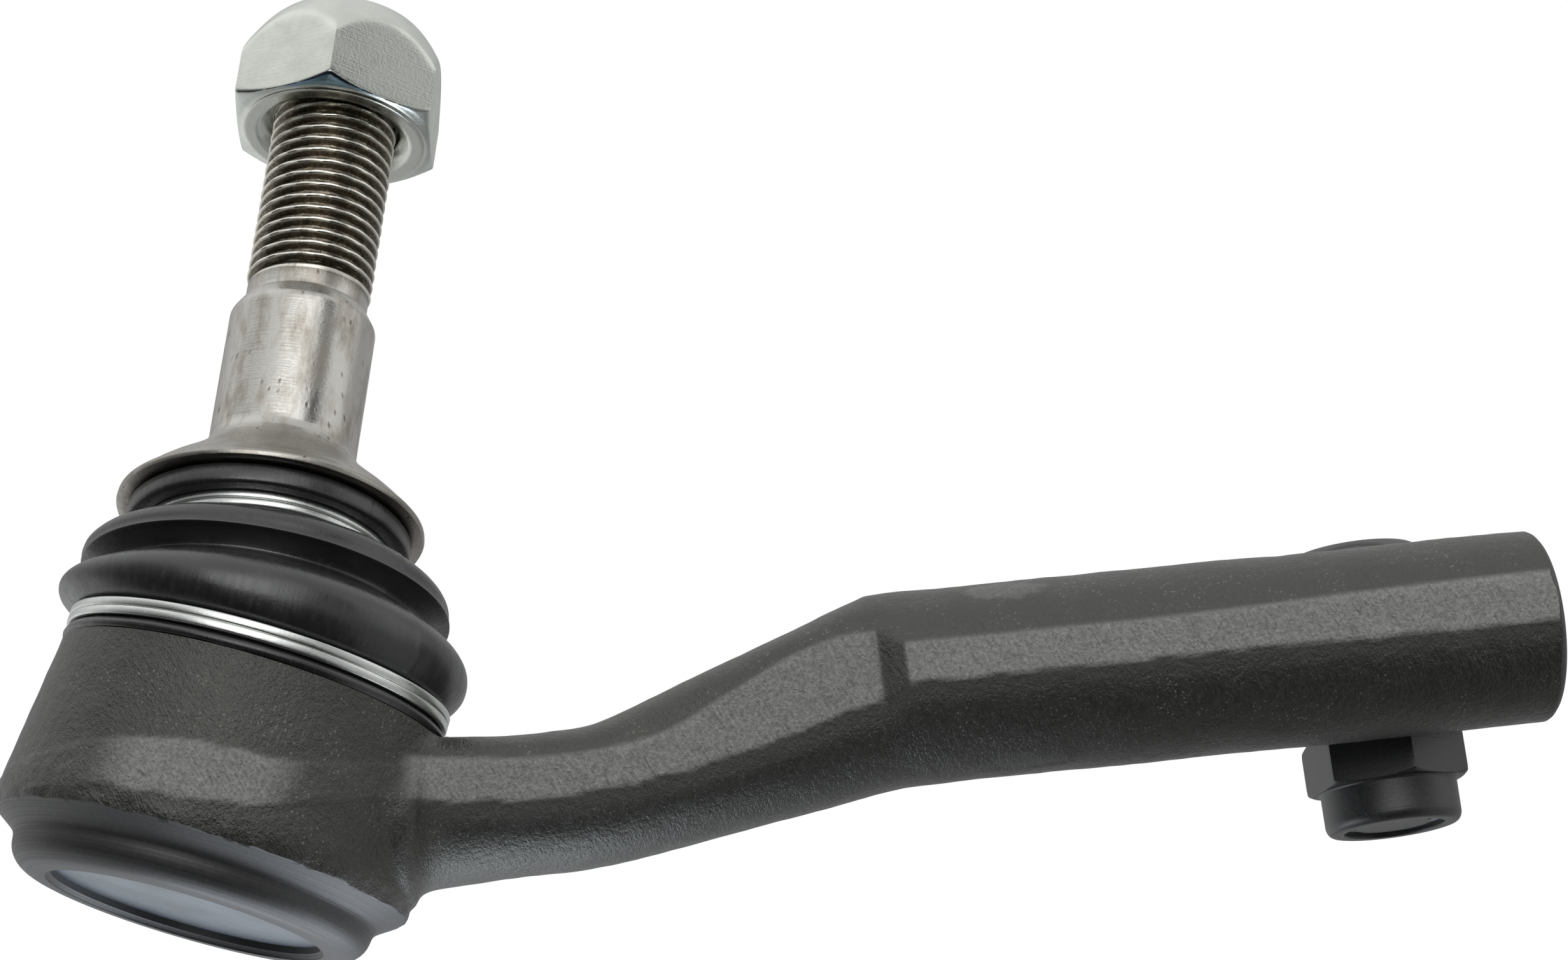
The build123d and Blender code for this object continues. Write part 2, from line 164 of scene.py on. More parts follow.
def make_object(name, points, faces):
    """An object from row-frame points in millimetres, its faces turned outwards."""
    mesh = bpy.data.meshes.new(name)
    mesh.from_pydata((np.asarray(points) * MM).tolist(), [], [list(face) for face in faces])
    shape = bmesh.new()
    shape.from_mesh(mesh)
    bmesh.ops.recalc_face_normals(shape, faces=shape.faces)
    if shape.calc_volume(signed=True) < 0:
        bmesh.ops.reverse_faces(shape, faces=shape.faces)
    shape.to_mesh(mesh)
    shape.free()
    return linked(name, mesh)


def grid_object(name, rings, closed=False):
    """An object from rings of points; an open stack of rings is capped at both ends."""
    rows, columns = rings.shape[:2]
    row = np.arange(rows if closed else rows - 1)[:, None]
    column = np.arange(columns)[None, :]
    beside = (column + 1) % columns
    above = (row + 1) % rows
    quads = np.stack(
        (row * columns + column, row * columns + beside, above * columns + beside, above * columns + column),
        axis=-1,
    )
    faces = quads.reshape(-1, 4).tolist()
    if not closed:
        faces.append(list(range(columns))[::-1])
        faces.append(list(range((rows - 1) * columns, rows * columns)))
    return make_object(name, rings.reshape(-1, 3), faces)


def rounded(outline, reach, steps=4):
    """The outline with its corners cut back by reach and bent round."""
    outline = np.asarray(outline, dtype=float)
    count = len(outline)
    result = []
    for index, corner in enumerate(outline):
        if index in (0, count - 1):
            result.append(corner)
            continue
        before = outline[index - 1] - corner
        after = outline[index + 1] - corner
        cut = min(reach, 0.45 * np.linalg.norm(before), 0.45 * np.linalg.norm(after))
        start = corner + unit(before) * cut
        end = corner + unit(after) * cut
        for share in np.linspace(0, 1, steps):
            result.append(
                start * (1 - share) ** 2 + corner * 2 * share * (1 - share) + end * share**2
            )
    return np.array(result)


def finer(outline, step):
    """The outline with points added so that none are further apart than step."""
    result = []
    for start, end in zip(outline[:-1], outline[1:]):
        count = max(1, int(np.ceil(np.linalg.norm(end - start) / step)))
        for index in range(count):
            result.append(start + (end - start) * index / count)
    result.append(outline[-1])
    return np.array(result)


def polar(radius, angle, height):
    """Points at a radius and an angle about local z, and at a height along it."""
    return np.stack(np.broadcast_arrays(radius * np.cos(angle), radius * np.sin(angle), height), axis=-1)


def turned_rings(place, profile, around, bumps=None):
    """Rings of a turned shape from (radius, height) pairs; bumps adds to the radius."""
    angle = np.arange(around) / around * tau
    radius = np.repeat(profile[:, 0:1], around, axis=1)
    height = np.repeat(profile[:, 1:2], around, axis=1)
    turn = np.repeat(angle[None, :], len(profile), axis=0)
    if bumps is not None:
        radius = radius + bumps(turn, height, radius)
    local = polar(radius, turn, height)
    return place.out(local)


def turned(name, place, profile, around=192, closed=False, bumps=None):
    """A turned object from (radius, height) pairs."""
    return grid_object(name, turned_rings(place, np.asarray(profile, dtype=float), around, bumps), closed)


def combine(target, other, operation):
    """Joins or cuts the target with another closed object, which is used up."""
    modifier = target.modifiers.new("combine", "BOOLEAN")
    modifier.operation = operation
    modifier.solver = "MANIFOLD"
    modifier.object = other
    apply_modifiers(target)
    bpy.data.objects.remove(other)


def apply_modifiers(piece):
    """Makes the object's modifiers part of its mesh."""
    bpy.context.view_layer.update()
    graph = bpy.context.evaluated_depsgraph_get()
    mesh = bpy.data.meshes.new_from_object(piece.evaluated_get(graph))
    piece.modifiers.clear()
    piece.data = mesh


def points_of(piece):
    """An object's points in millimetres."""
    points = np.empty(len(piece.data.vertices) * 3)
    piece.data.vertices.foreach_get("co", points)
    return points.reshape(-1, 3) / MM


def normals_of(piece):
    """An object's point normals."""
    normals = np.empty(len(piece.data.vertices) * 3)
    piece.data.vertex_normals.foreach_get("vector", normals)
    return normals.reshape(-1, 3)


def set_points(piece, points):
    """Moves an object's points, given in millimetres."""
    piece.data.vertices.foreach_set("co", (points * MM).ravel())
    piece.data.update()


def write_values(piece, name, values):
    """Keeps one number per point with the mesh, for its material."""
    attribute = piece.data.attributes.new(name, "FLOAT", "POINT")
    attribute.data.foreach_set("value", np.asarray(values, dtype=np.float32))


def write_places(piece, name, places):
    """Keeps one place in millimetres per point with the mesh, for its material."""
    attribute = piece.data.attributes.new(name, "FLOAT_VECTOR", "POINT")
    attribute.data.foreach_set("vector", places.astype(np.float32).ravel())


def finish_piece(piece, place, body, node, materials, sharp=32):
    """Smooths a finished mesh, gives it its materials, ties it to its body and hides the CAD node that it
    stands in for.
    """
    write_places(piece, "local", place.into(points_of(piece)))
    piece.data.shade_smooth()
    piece.data.set_sharp_from_angle(angle=radians(sharp))
    piece.data.materials.clear()
    for material in materials:
        piece.data.materials.append(material)
    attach(piece, body)
    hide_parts(node)


# ---- Shaders -------------------------------------------------------------------------------------


def put(tree, socket, value):
    """Sets a socket to a value, or links it."""
    if isinstance(value, bpy.types.NodeSocket):
        tree.links.new(value, socket)
    else:
        socket.default_value = value


def add_node(tree, kind, inputs=None, **settings):
    """One node; inputs are values or other nodes' outputs."""
    node = tree.nodes.new(kind)
    for key, value in settings.items():
        setattr(node, key, value)
    for key, value in (inputs or {}).items():
        put(tree, node.inputs[key], value)
    return node


class Shader:
    """A material's node tree, built by short calls."""

    def __init__(self, name):
        self.material = bpy.data.materials.new(name)
        self.material.use_nodes = True
        self.tree = self.material.node_tree
        self.tree.nodes.clear()
        self.surface = self.add("ShaderNodeBsdfPrincipled")
        output = self.add("ShaderNodeOutputMaterial")
        self.tree.links.new(self.surface.outputs[0], output.inputs[0])

    def add(self, kind, inputs=None, **settings):
        """One of the material's nodes."""
        return add_node(self.tree, kind, inputs, **settings)

    def cad_place(self):
        """The place in millimetres of a CAD node's surface."""
        place = self.add("ShaderNodeTexCoord").outputs["Object"]
        return self.scaled(place, (1000, 1000, 1000))

    def place(self, name):
        """A place in millimetres that the mesh keeps."""
        return self.add("ShaderNodeAttribute", attribute_name=name).outputs["Vector"]

    def value(self, name):
        """A number that the mesh keeps."""
        return self.add("ShaderNodeAttribute", attribute_name=name).outputs["Fac"]

    def scaled(self, vector, factors):
        """A vector times fixed factors."""
        node = self.add("ShaderNodeVectorMath", {0: vector, 1: factors}, operation="MULTIPLY")
        return node.outputs[0]

    def turned_by(self, vector, angles):
        """A vector turned by fixed angles in degrees."""
        turn = tuple(radians(angle) for angle in angles)
        return self.add("ShaderNodeMapping", {"Vector": vector, "Rotation": turn}).outputs[0]

    def parts(self, vector):
        """A vector's three numbers."""
        return self.add("ShaderNodeSeparateXYZ", {0: vector}).outputs

    def noise(self, vector, scale, detail=2.0, roughness=0.5, distortion=0.0):
        """Noise from 0 to 1; scale is in features per millimetre."""
        inputs = {
            "Vector": vector, "Scale": scale, "Detail": detail, "Roughness": roughness,
            "Distortion": distortion,
        }
        return self.add("ShaderNodeTexNoise", inputs).outputs["Fac"]

    def lines(self, number, scale, detail=2.0):
        """Noise along one number, which gives turning lines."""
        inputs = {"W": number, "Scale": scale, "Detail": detail}
        return self.add("ShaderNodeTexNoise", inputs, noise_dimensions="1D").outputs["Fac"]

    def specks(self, vector, scale, low, high):
        """Round specks, 1 inside and 0 outside."""
        node = self.add("ShaderNodeTexVoronoi", {"Vector": vector, "Scale": scale})
        return self.ramp(node.outputs["Distance"], low, high, 1.0, 0.0)

    def ramp(self, number, low, high, start=0.0, end=1.0):
        """A number's range low to high as start to end, held beyond."""
        inputs = {
            "Value": number, "From Min": low, "From Max": high, "To Min": start, "To Max": end,
        }
        return self.add("ShaderNodeMapRange", inputs, clamp=True).outputs[0]

    def math(self, operation, first, second):
        """Arithmetic on two numbers."""
        return self.add("ShaderNodeMath", {0: first, 1: second}, operation=operation).outputs[0]

    def times(self, first, second):
        """The product of two numbers."""
        return self.math("MULTIPLY", first, second)

    def plus(self, first, second):
        """The sum of two numbers."""
        return self.math("ADD", first, second)

    def weighed(self, first, first_weight, second, second_weight):
        """The sum of two numbers, each times its weight."""
        return self.plus(self.times(first, first_weight), self.times(second, second_weight))

    def mix(self, share, first, second):
        """A colour between two colours."""
        node = self.add("ShaderNodeMix", data_type="RGBA")
        put(self.tree, node.inputs[0], share)
        put(self.tree, node.inputs[6], first)
        put(self.tree, node.inputs[7], second)
        return node.outputs[2]

    def bump(self, height, depth, normal=None):
        """A normal bent by a height from 0 to 1 over a depth in millimetres."""
        inputs = {"Height": height, "Distance": depth * MM, "Strength": 1.0}
        if normal is not None:
            inputs["Normal"] = normal
        return self.add("ShaderNodeBump", inputs).outputs[0]

    def finish(self, color, rough, metallic=0.0, normal=None, **fixed):
        """Fills in the surface's sockets."""
        put(self.tree, self.surface.inputs["Base Color"], color)
        put(self.tree, self.surface.inputs["Roughness"], rough)
        put(self.tree, self.surface.inputs["Metallic"], metallic)
        if normal is not None:
            put(self.tree, self.surface.inputs["Normal"], normal)
        for key, value in fixed.items():
            self.surface.inputs[key.replace("_", " ")].default_value = value
        return self.material


def grey(level, red=1.0, blue=1.0):
    """A near-grey colour."""
    return (level * red, level, level * blue, 1.0)


def forged_skin():
    """Black-coated forged surface: satin, grainy, lighter and scratched along the trimmed band, which round
    the eye is partly a painted highlight.
    """
    shader = Shader("forged_skin")
    place = shader.place("local")
    band = shader.value("band")
    strip = shader.value("strip")
    broad = shader.noise(place, 0.22, 3.0)
    grain = shader.noise(place, 1.6, 4.0, 0.6)
    fine = shader.noise(place, 5.0, 2.0, 0.6)
    color = shader.mix(shader.ramp(broad, 0.3, 0.7), grey(0.008, 1.02, 0.86), grey(0.015, 1.02, 0.86))
    color = shader.mix(shader.ramp(grain, 0.52, 0.70, 0.0, 0.6), color, grey(0.028, 1.0, 0.90))
    specks = shader.times(shader.specks(place, 1.7, 0.08, 0.26), shader.ramp(broad, 0.46, 0.60))
    color = shader.mix(shader.times(specks, 0.6), color, grey(0.26, 1.0, 0.93))
    rough_band = shader.noise(place, 2.4, 4.0, 0.7)
    band_color = shader.mix(shader.ramp(rough_band, 0.35, 0.7), grey(0.14, 1.0, 0.96), grey(0.33, 1.0, 0.97))
    # Lighter trimmed band; round the eye its lighter colour is partly a painted highlight
    color = shader.mix(band, color, band_color)
    # Fine slanted scratches, thickest in patches
    slanted = shader.scaled(shader.turned_by(shader.place("along"), (0, 24, 0)), (4.6, 1.2, 0.5))
    strokes = shader.noise(slanted, 1.0, 3.0, 0.6)
    patches = shader.ramp(shader.noise(place, 0.16, 1.0), 0.40, 0.62, 0.25, 1.0)
    stroke = shader.times(shader.ramp(strokes, 0.60, 0.70), shader.times(band, patches))
    color = shader.mix(shader.times(stroke, 0.7), color, grey(0.42))
    furrow = shader.times(shader.ramp(strokes, 0.40, 0.30), band)
    color = shader.mix(shader.times(furrow, 0.55), color, grey(0.03))
    color = shader.mix(shader.times(strip, 0.85), color, grey(0.012))
    rough = shader.ramp(grain, 0.3, 0.7, 0.30, 0.44)
    rough = shader.plus(rough, shader.times(band, 0.10))
    height = shader.weighed(grain, 0.7, fine, 0.3)
    height = shader.plus(height, shader.times(strokes, 0.35))
    normal = shader.bump(height, 0.26)
    band_height = shader.times(rough_band, shader.plus(band, strip))
    normal = shader.bump(band_height, 0.22, normal)
    return shader.finish(
        color, rough, 0.0, normal, Specular_IOR_Level=0.9, Specular_Tint=grey(1.0, 1.0, 0.93)
    )


def turned_black():
    """Machined then coated faces: dark, smooth, with fine turning lines."""
    shader = Shader("turned_black")
    place = shader.place("local")
    axes = shader.parts(place)
    line = shader.plus(axes[2], shader.times(axes[0], 0.001))
    turning = shader.lines(line, 5.0, 3.0)
    grain = shader.noise(place, 2.0, 3.0, 0.6)
    color = shader.mix(shader.ramp(grain, 0.4, 0.7), grey(0.016), grey(0.028))
    rough = shader.ramp(turning, 0.3, 0.7, 0.44, 0.54)
    height = shader.weighed(turning, 0.6, grain, 0.4)
    return shader.finish(color, rough, 0.1, shader.bump(height, 0.02), Specular_IOR_Level=1.0)


def bright_metal(name, light, dark, rough_range, turning_depth, with_painted_reflection=False):
    """Plated metal with turning lines and smudges; a painted blue reflection is laid on where the mesh says
    so.
    """
    shader = Shader(name)
    place = shader.place("local")
    axes = shader.parts(place)
    turning = shader.lines(axes[2], 4.5, 3.0)
    smudge = shader.noise(place, 0.35, 4.0, 0.6, 0.4)
    grain = shader.noise(place, 3.0, 3.0, 0.65)
    color = shader.mix(shader.ramp(smudge, 0.35, 0.7, 0.0, 0.5), light, dark)
    if with_painted_reflection:
        # Painted blue reflection, where the mesh's share says so
        color = shader.mix(shader.times(shader.value("painted_blue_reflection"), 0.8), color, (0.14, 0.30, 0.44, 1.0))
    rough = shader.ramp(smudge, 0.3, 0.75, rough_range[0], rough_range[1])
    rough = shader.plus(rough, shader.ramp(grain, 0.4, 0.8, 0.0, 0.08))
    normal = shader.bump(turning, turning_depth)
    normal = shader.bump(grain, 0.012, normal)
    return shader.finish(color, rough, 1.0, normal)


def stud_steel():
    """The stud: ground shank with brown stains and pits, dark oily thread with a painted highlight on its
    crests.
    """
    shader = Shader("stud_steel")
    place = shader.place("local")
    thread = shader.value("thread")
    crest = shader.value("crest")
    axes = shader.parts(place)
    turning = shader.lines(axes[2], 3.5, 3.0)
    tall = shader.scaled(place, (1.0, 1.0, 0.35))
    stains = shader.noise(tall, 0.42, 5.0, 0.65)
    grain = shader.noise(place, 2.5, 3.0, 0.6)
    pits = shader.specks(shader.scaled(shader.turned_by(place, (0, 25, 0)), (1.0, 1.0, 0.35)), 0.8, 0.06, 0.2)
    pits = shader.times(pits, shader.ramp(shader.noise(place, 0.25, 1.0), 0.46, 0.56))
    shank = shader.mix(shader.ramp(stains, 0.45, 0.72), grey(0.52, 1.03, 0.93), (0.29, 0.25, 0.20, 1.0))
    flange = shader.ramp(axes[2], 37.0, 33.0)
    shank = shader.mix(shader.times(flange, 0.75), shank, grey(0.27, 1.05, 0.88))
    shank = shader.mix(pits, shank, grey(0.10, 1.2, 0.8))
    dark_thread = shader.mix(shader.ramp(grain, 0.4, 0.7), (0.11, 0.095, 0.075, 1.0), (0.24, 0.21, 0.16, 1.0))
    # Painted highlight on the thread's crests
    thread_color = shader.mix(shader.ramp(crest, 0.68, 0.97), dark_thread, grey(0.78, 1.03, 0.9))
    thread_color = shader.mix(shader.ramp(stains, 0.62, 0.74, 0.0, 0.75), thread_color, grey(0.06, 1.1, 0.85))
    color = shader.mix(thread, shank, thread_color)
    rough = shader.ramp(stains, 0.35, 0.7, 0.22, 0.40)
    normal = shader.bump(turning, 0.012)
    normal = shader.bump(shader.plus(grain, shader.times(pits, -1.5)), 0.02, normal)
    return shader.finish(color, rough, 1.0, normal)


def boot_skin():
    """Black rubber: satin, with a dusty bloom and fine radial marks."""
    shader = Shader("boot_skin")
    place = shader.place("local")
    broad = shader.noise(place, 0.18, 3.0)
    grain = shader.noise(place, 3.0, 3.0, 0.6)
    around = shader.scaled(place, (1.6, 1.6, 0.15))
    marks = shader.noise(around, 1.0, 3.0, 0.6)
    color = shader.mix(shader.ramp(broad, 0.4, 0.75), grey(0.014, 1.0, 1.02), grey(0.026, 1.0, 1.02))
    color = shader.mix(shader.ramp(marks, 0.6, 0.8, 0.0, 0.35), color, grey(0.07))
    rough = shader.ramp(marks, 0.3, 0.7, 0.24, 0.38)
    height = shader.weighed(grain, 0.5, marks, 0.5)
    return shader.finish(color, rough, 0.0, shader.bump(height, 0.035), Specular_IOR_Level=0.8)


def black_fastener():
    """Black phosphate on the clamp's bolt and nut: satin, with fine light specks."""
    shader = Shader("black_phosphate")
    place = shader.place("local")
    axes = shader.parts(place)
    turning = shader.lines(axes[2], 4.0, 2.0)
    grain = shader.noise(place, 4.0, 3.0, 0.65)
    specks = shader.specks(place, 1.1, 0.03, 0.14)
    color = shader.mix(shader.ramp(grain, 0.4, 0.7), grey(0.022, 1.0, 1.03), grey(0.045, 1.0, 1.03))
    color = shader.mix(shader.times(specks, 0.5), color, grey(0.16))
    rough = shader.ramp(grain, 0.3, 0.7, 0.36, 0.48)
    height = shader.weighed(turning, 0.5, grain, 0.5)
    return shader.finish(color, rough, 0.25, shader.bump(height, 0.03), Specular_IOR_Level=0.9)


def plain_inside(name, light, dark, rough, metallic, scale):
    """A CAD node's own finish: mottled, with a fine grain."""
    shader = Shader(name)
    place = shader.cad_place()
    broad = shader.noise(place, scale, 4.0, 0.6)
    grain = shader.noise(place, 3.5, 3.0, 0.6)
    color = shader.mix(shader.ramp(broad, 0.35, 0.7), light, dark)
    roughness = shader.ramp(grain, 0.3, 0.7, rough[0], rough[1])
    return shader.finish(color, roughness, metallic, shader.bump(grain, 0.02))


# ---- Forging -------------------------------------------------------------------------------------

# Arm sections: x, top, upper and lower edge of the flat sides, bottom, half width
ARM_TABLE = np.array((
    (-133.0, -0.8, -4.6, -9.0, -17.0, 8.8),
    (-122.0, -0.7, -4.3, -8.7, -16.2, 8.6),
    (-112.0, -1.2, -5.3, -9.4, -15.8, 8.5),
    (-105.0, -0.8, -5.1, -9.1, -15.6, 8.5),
    (-98.0, 1.6, -3.9, -8.2, -14.7, 8.5),
    (-91.0, 4.2, -0.7, -6.9, -13.5, 8.6),
    (-83.0, 7.0, 3.0, -4.8, -12.2, 8.7),
    (-77.0, 9.3, 4.4, -3.3, -11.2, 8.8),
    (-74.4, 10.2, 4.4, -2.8, -10.8, 8.8),
))
ARM_END = -74.4
TUBE_START = -71.8
TUBE_RADIUS = 10.5
TUBE_FLAT_HIGH = 3.2
TUBE_FLAT_LOW = -1.5
ARM_ROUNDNESS = 0.92
EYE_WALL = ((-8.6, 22.4), (7.6, 20.7))  # height and radius at the wall's two ends
PITCH = 1.5
SOCKET_DEPTH = 57.0
SOCKET_MAJOR_RADIUS = 7.0
SOCKET_THREAD_DEPTH = 0.75
EAR_HALF_HEIGHT = 7.0
BOLT_HOLE_RADIUS = 5.25
SPOT_FACE_RADIUS = 9.6
SLOT_END = -34.0
SLOT_HALF_WIDTH = 1.3
SLOT_RELIEF_RADIUS = 2.4
EDGE_SHARPNESS = 7.0
WIRE_ROUNDNESS = 0.5
VOXEL = 0.43


def table_at(table, stations):
    """A table's columns at new stations of its first column, along smooth cubics."""
    x = table[:, 0]
    values = table[:, 1:]
    slopes = np.gradient(values, x, axis=0)
    index = np.clip(np.searchsorted(x, stations) - 1, 0, len(x) - 2)
    width = (x[index + 1] - x[index])[:, None]
    share = ((np.clip(stations, x[0], x[-1]) - x[index])[:, None]) / width
    start, end = values[index], values[index + 1]
    out, back = slopes[index] * width, slopes[index + 1] * width
    return (
        start * (1 + 2 * share) * (1 - share) ** 2
        + out * share * (1 - share) ** 2
        + end * share**2 * (3 - 2 * share)
        + back * share**2 * (share - 1)
    )


def band_limits(x):
    """Lower and upper edge, as z, of the band that runs along the forging's sides."""
    shape = table_at(ARM_TABLE, x)
    along_tube = smooth_step(ARM_END, TUBE_START, x)
    tube_low = TUBE_FLAT_LOW + 0.1 * noise_along(x, 6.0, 3)
    tube_high = 2.7 + 1.1 * smooth_step(-50, -2, x)
    low = shape[:, 2] * (1 - along_tube) + tube_low * along_tube
    high = shape[:, 1] * (1 - along_tube) + tube_high * along_tube
    return low, high


ARC_STEPS = 44
SIDE_STEPS = 10


def forging_section(x):
    """One ring of the arm or tube: over the top, down the back, under and up the front."""
    over = np.linspace(0, pi, ARC_STEPS, endpoint=False)
    drop = np.linspace(0, 1, SIDE_STEPS, endpoint=False)
    top, flat_top, flat_bottom, bottom, half = table_at(ARM_TABLE, np.array([x]))[0]
    arc_y = signed_power(np.cos(over), ARM_ROUNDNESS) * half
    arc_z = np.abs(np.sin(over)) ** ARM_ROUNDNESS
    arm = np.concatenate((
        np.stack((arc_y, flat_top + arc_z * (top - flat_top)), axis=-1),
        np.stack((-half + 0 * drop, flat_top + drop * (flat_bottom - flat_top)), axis=-1),
        np.stack((-arc_y, flat_bottom - arc_z * (flat_bottom - bottom)), axis=-1),
        np.stack((half + 0 * drop, flat_bottom + drop * (flat_top - flat_bottom)), axis=-1),
    ))
    high = np.arcsin(TUBE_FLAT_HIGH / TUBE_RADIUS)
    low = np.arcsin(TUBE_FLAT_LOW / TUBE_RADIUS)
    upper = high + over / pi * (pi - 2 * high)
    lower = pi - low + over / pi * (pi + 2 * low)
    corner_high = np.array((cos(high), sin(high))) * TUBE_RADIUS
    corner_low = np.array((cos(low), sin(low))) * TUBE_RADIUS
    mirrored = np.array((-1.0, 1.0))
    tube = np.concatenate((
        np.stack((np.cos(upper), np.sin(upper)), axis=-1) * TUBE_RADIUS,
        corner_high * mirrored * (1 - drop)[:, None] + corner_low * mirrored * drop[:, None],
        np.stack((np.cos(lower), np.sin(lower)), axis=-1) * TUBE_RADIUS,
        corner_low * (1 - drop)[:, None] + corner_high * drop[:, None],
    ))
    share = np.clip((x - ARM_END) / (TUBE_START - ARM_END), 0, 1)
    return arm * (1 - share) + tube * share


def from_eye_wall(local):
    """How far points in the housing's frame lie outside the eye's tapered wall."""
    (low, wide), (high, narrow) = EYE_WALL
    wall = wide + (np.clip(local[..., 2], low, high) - low) / (high - low) * (narrow - wide)
    return np.hypot(local[..., 0], local[..., 1]) - wall


def forging_bar():
    """Arm and tube as one closed skin, spreading where it meets the eye's wall."""
    stations = np.concatenate((
        np.arange(-133, ARM_END, 0.7), np.arange(ARM_END, TUBE_START, 0.2), np.arange(TUBE_START, 0.5, 1.2),
        [0.6],
    ))
    rings = np.array([
        np.concatenate((np.full((2 * (ARC_STEPS + SIDE_STEPS), 1), x), forging_section(x)), axis=1)
        for x in stations
    ])
    gap = from_eye_wall(HOUSING.into(rings))
    middle = rings.mean(axis=1, keepdims=True)
    outward = rings - middle
    outward[..., 0] = 0
    outward /= np.maximum(np.linalg.norm(outward, axis=-1, keepdims=True), 1e-9)
    side = np.abs(outward[..., 1])
    under = np.clip(-outward[..., 2], 0, 1)
    radius = 0.3 + 4.6 * side**2 * (0.35 + 0.65 * smooth_step(-0.6, 0.3, -outward[..., 2])) + 1.3 * under
    near = np.clip(radius - gap, 0, radius)
    spread = radius - np.sqrt(np.maximum(radius**2 - near**2, 0))
    spread = np.minimum(spread, radius * 0.9) * (rings[..., 0] < -100)
    return grid_object("forging_skin", rings + outward * spread[..., None])


def forged_eye():
    """The eye as forged, before it is turned."""
    outline = (
        (19.8, -17.4), (19.8, -14.3), (20.9, -13.2), (21.7, -12.2), (22.2, -11.1), (22.4, -9.8), (22.4, -8.6),
        (21.55, -0.5), (20.7, 7.6), (20.6, 9.0), (18.4, 9.2), (18.4, 12.9),
    )
    return turned("forged_eye", HOUSING, finer(rounded(outline, 0.8), 0.6), 220)


def clamp_ears():
    """The clamp's two ears before the slot parts them."""
    half = EAR_HALF_HEIGHT + 0.25
    angles = np.radians(np.arange(45, 181, 5))
    arc = np.stack((PINCH[0] + 9 * np.cos(angles), PINCH[1] + 9 * np.sin(angles)), axis=-1)
    outline = np.concatenate((((-2.5, 0.0), (-2.5, 17.3)), arc, ((-29.4, 13.6), (-29.4, 0.0))))
    rings = []
    edge = ((0.4, 0.0), (0.1, 0.2), (0.0, 0.5))  # inset at a depth from either end
    levels = [(inset, depth - half) for inset, depth in edge]
    levels += [(inset, half - depth) for inset, depth in reversed(edge)]
    for inset, z in levels:
        middle = np.array((PINCH[0], 8.0))
        towards = middle - outline
        moved = outline + towards / np.linalg.norm(towards, axis=1, keepdims=True) * inset
        rings.append(np.concatenate((moved, np.full((len(moved), 1), z)), axis=1))
    return grid_object("clamp_ears", np.array(rings))


# Band round the eye: angle from the arm, upper and lower edge along the housing's axis
EYE_BAND = np.array((
    (-180.0, -9.4, -12.5), (-151.6, -7.2, -11.2), (-135.0, -5.8, -10.6), (-118.0, -4.2, -9.3),
    (-104.5, -3.2, -9.1), (-91.5, -2.6, -8.6), (-77.0, -2.4, -7.2), (-60.5, -0.7, -5.0), (-43.0, 1.8, -2.4),
    (-30.0, 3.2, -1.1), (0.0, 4.8, 0.2),
))


def eye_band(turn):
    """Upper and lower edge of the band round the eye, at an angle about its axis."""
    folded = -np.abs(turn)
    angle, upper, lower = EYE_BAND.T
    return np.interp(folded, angle, upper), np.interp(folded, angle, lower)


def skin_patch(points, middle, reach, seed):
    """A ragged patch of the surface, 1 inside and 0 outside."""
    away = np.linalg.norm((points - np.array(middle)) / np.array(reach), axis=-1)
    return 1 - smooth_step(0.7, 1.0, away + 0.3 * noise(points, 1.5, seed) + 0.15 * noise(points, 0.6, seed))


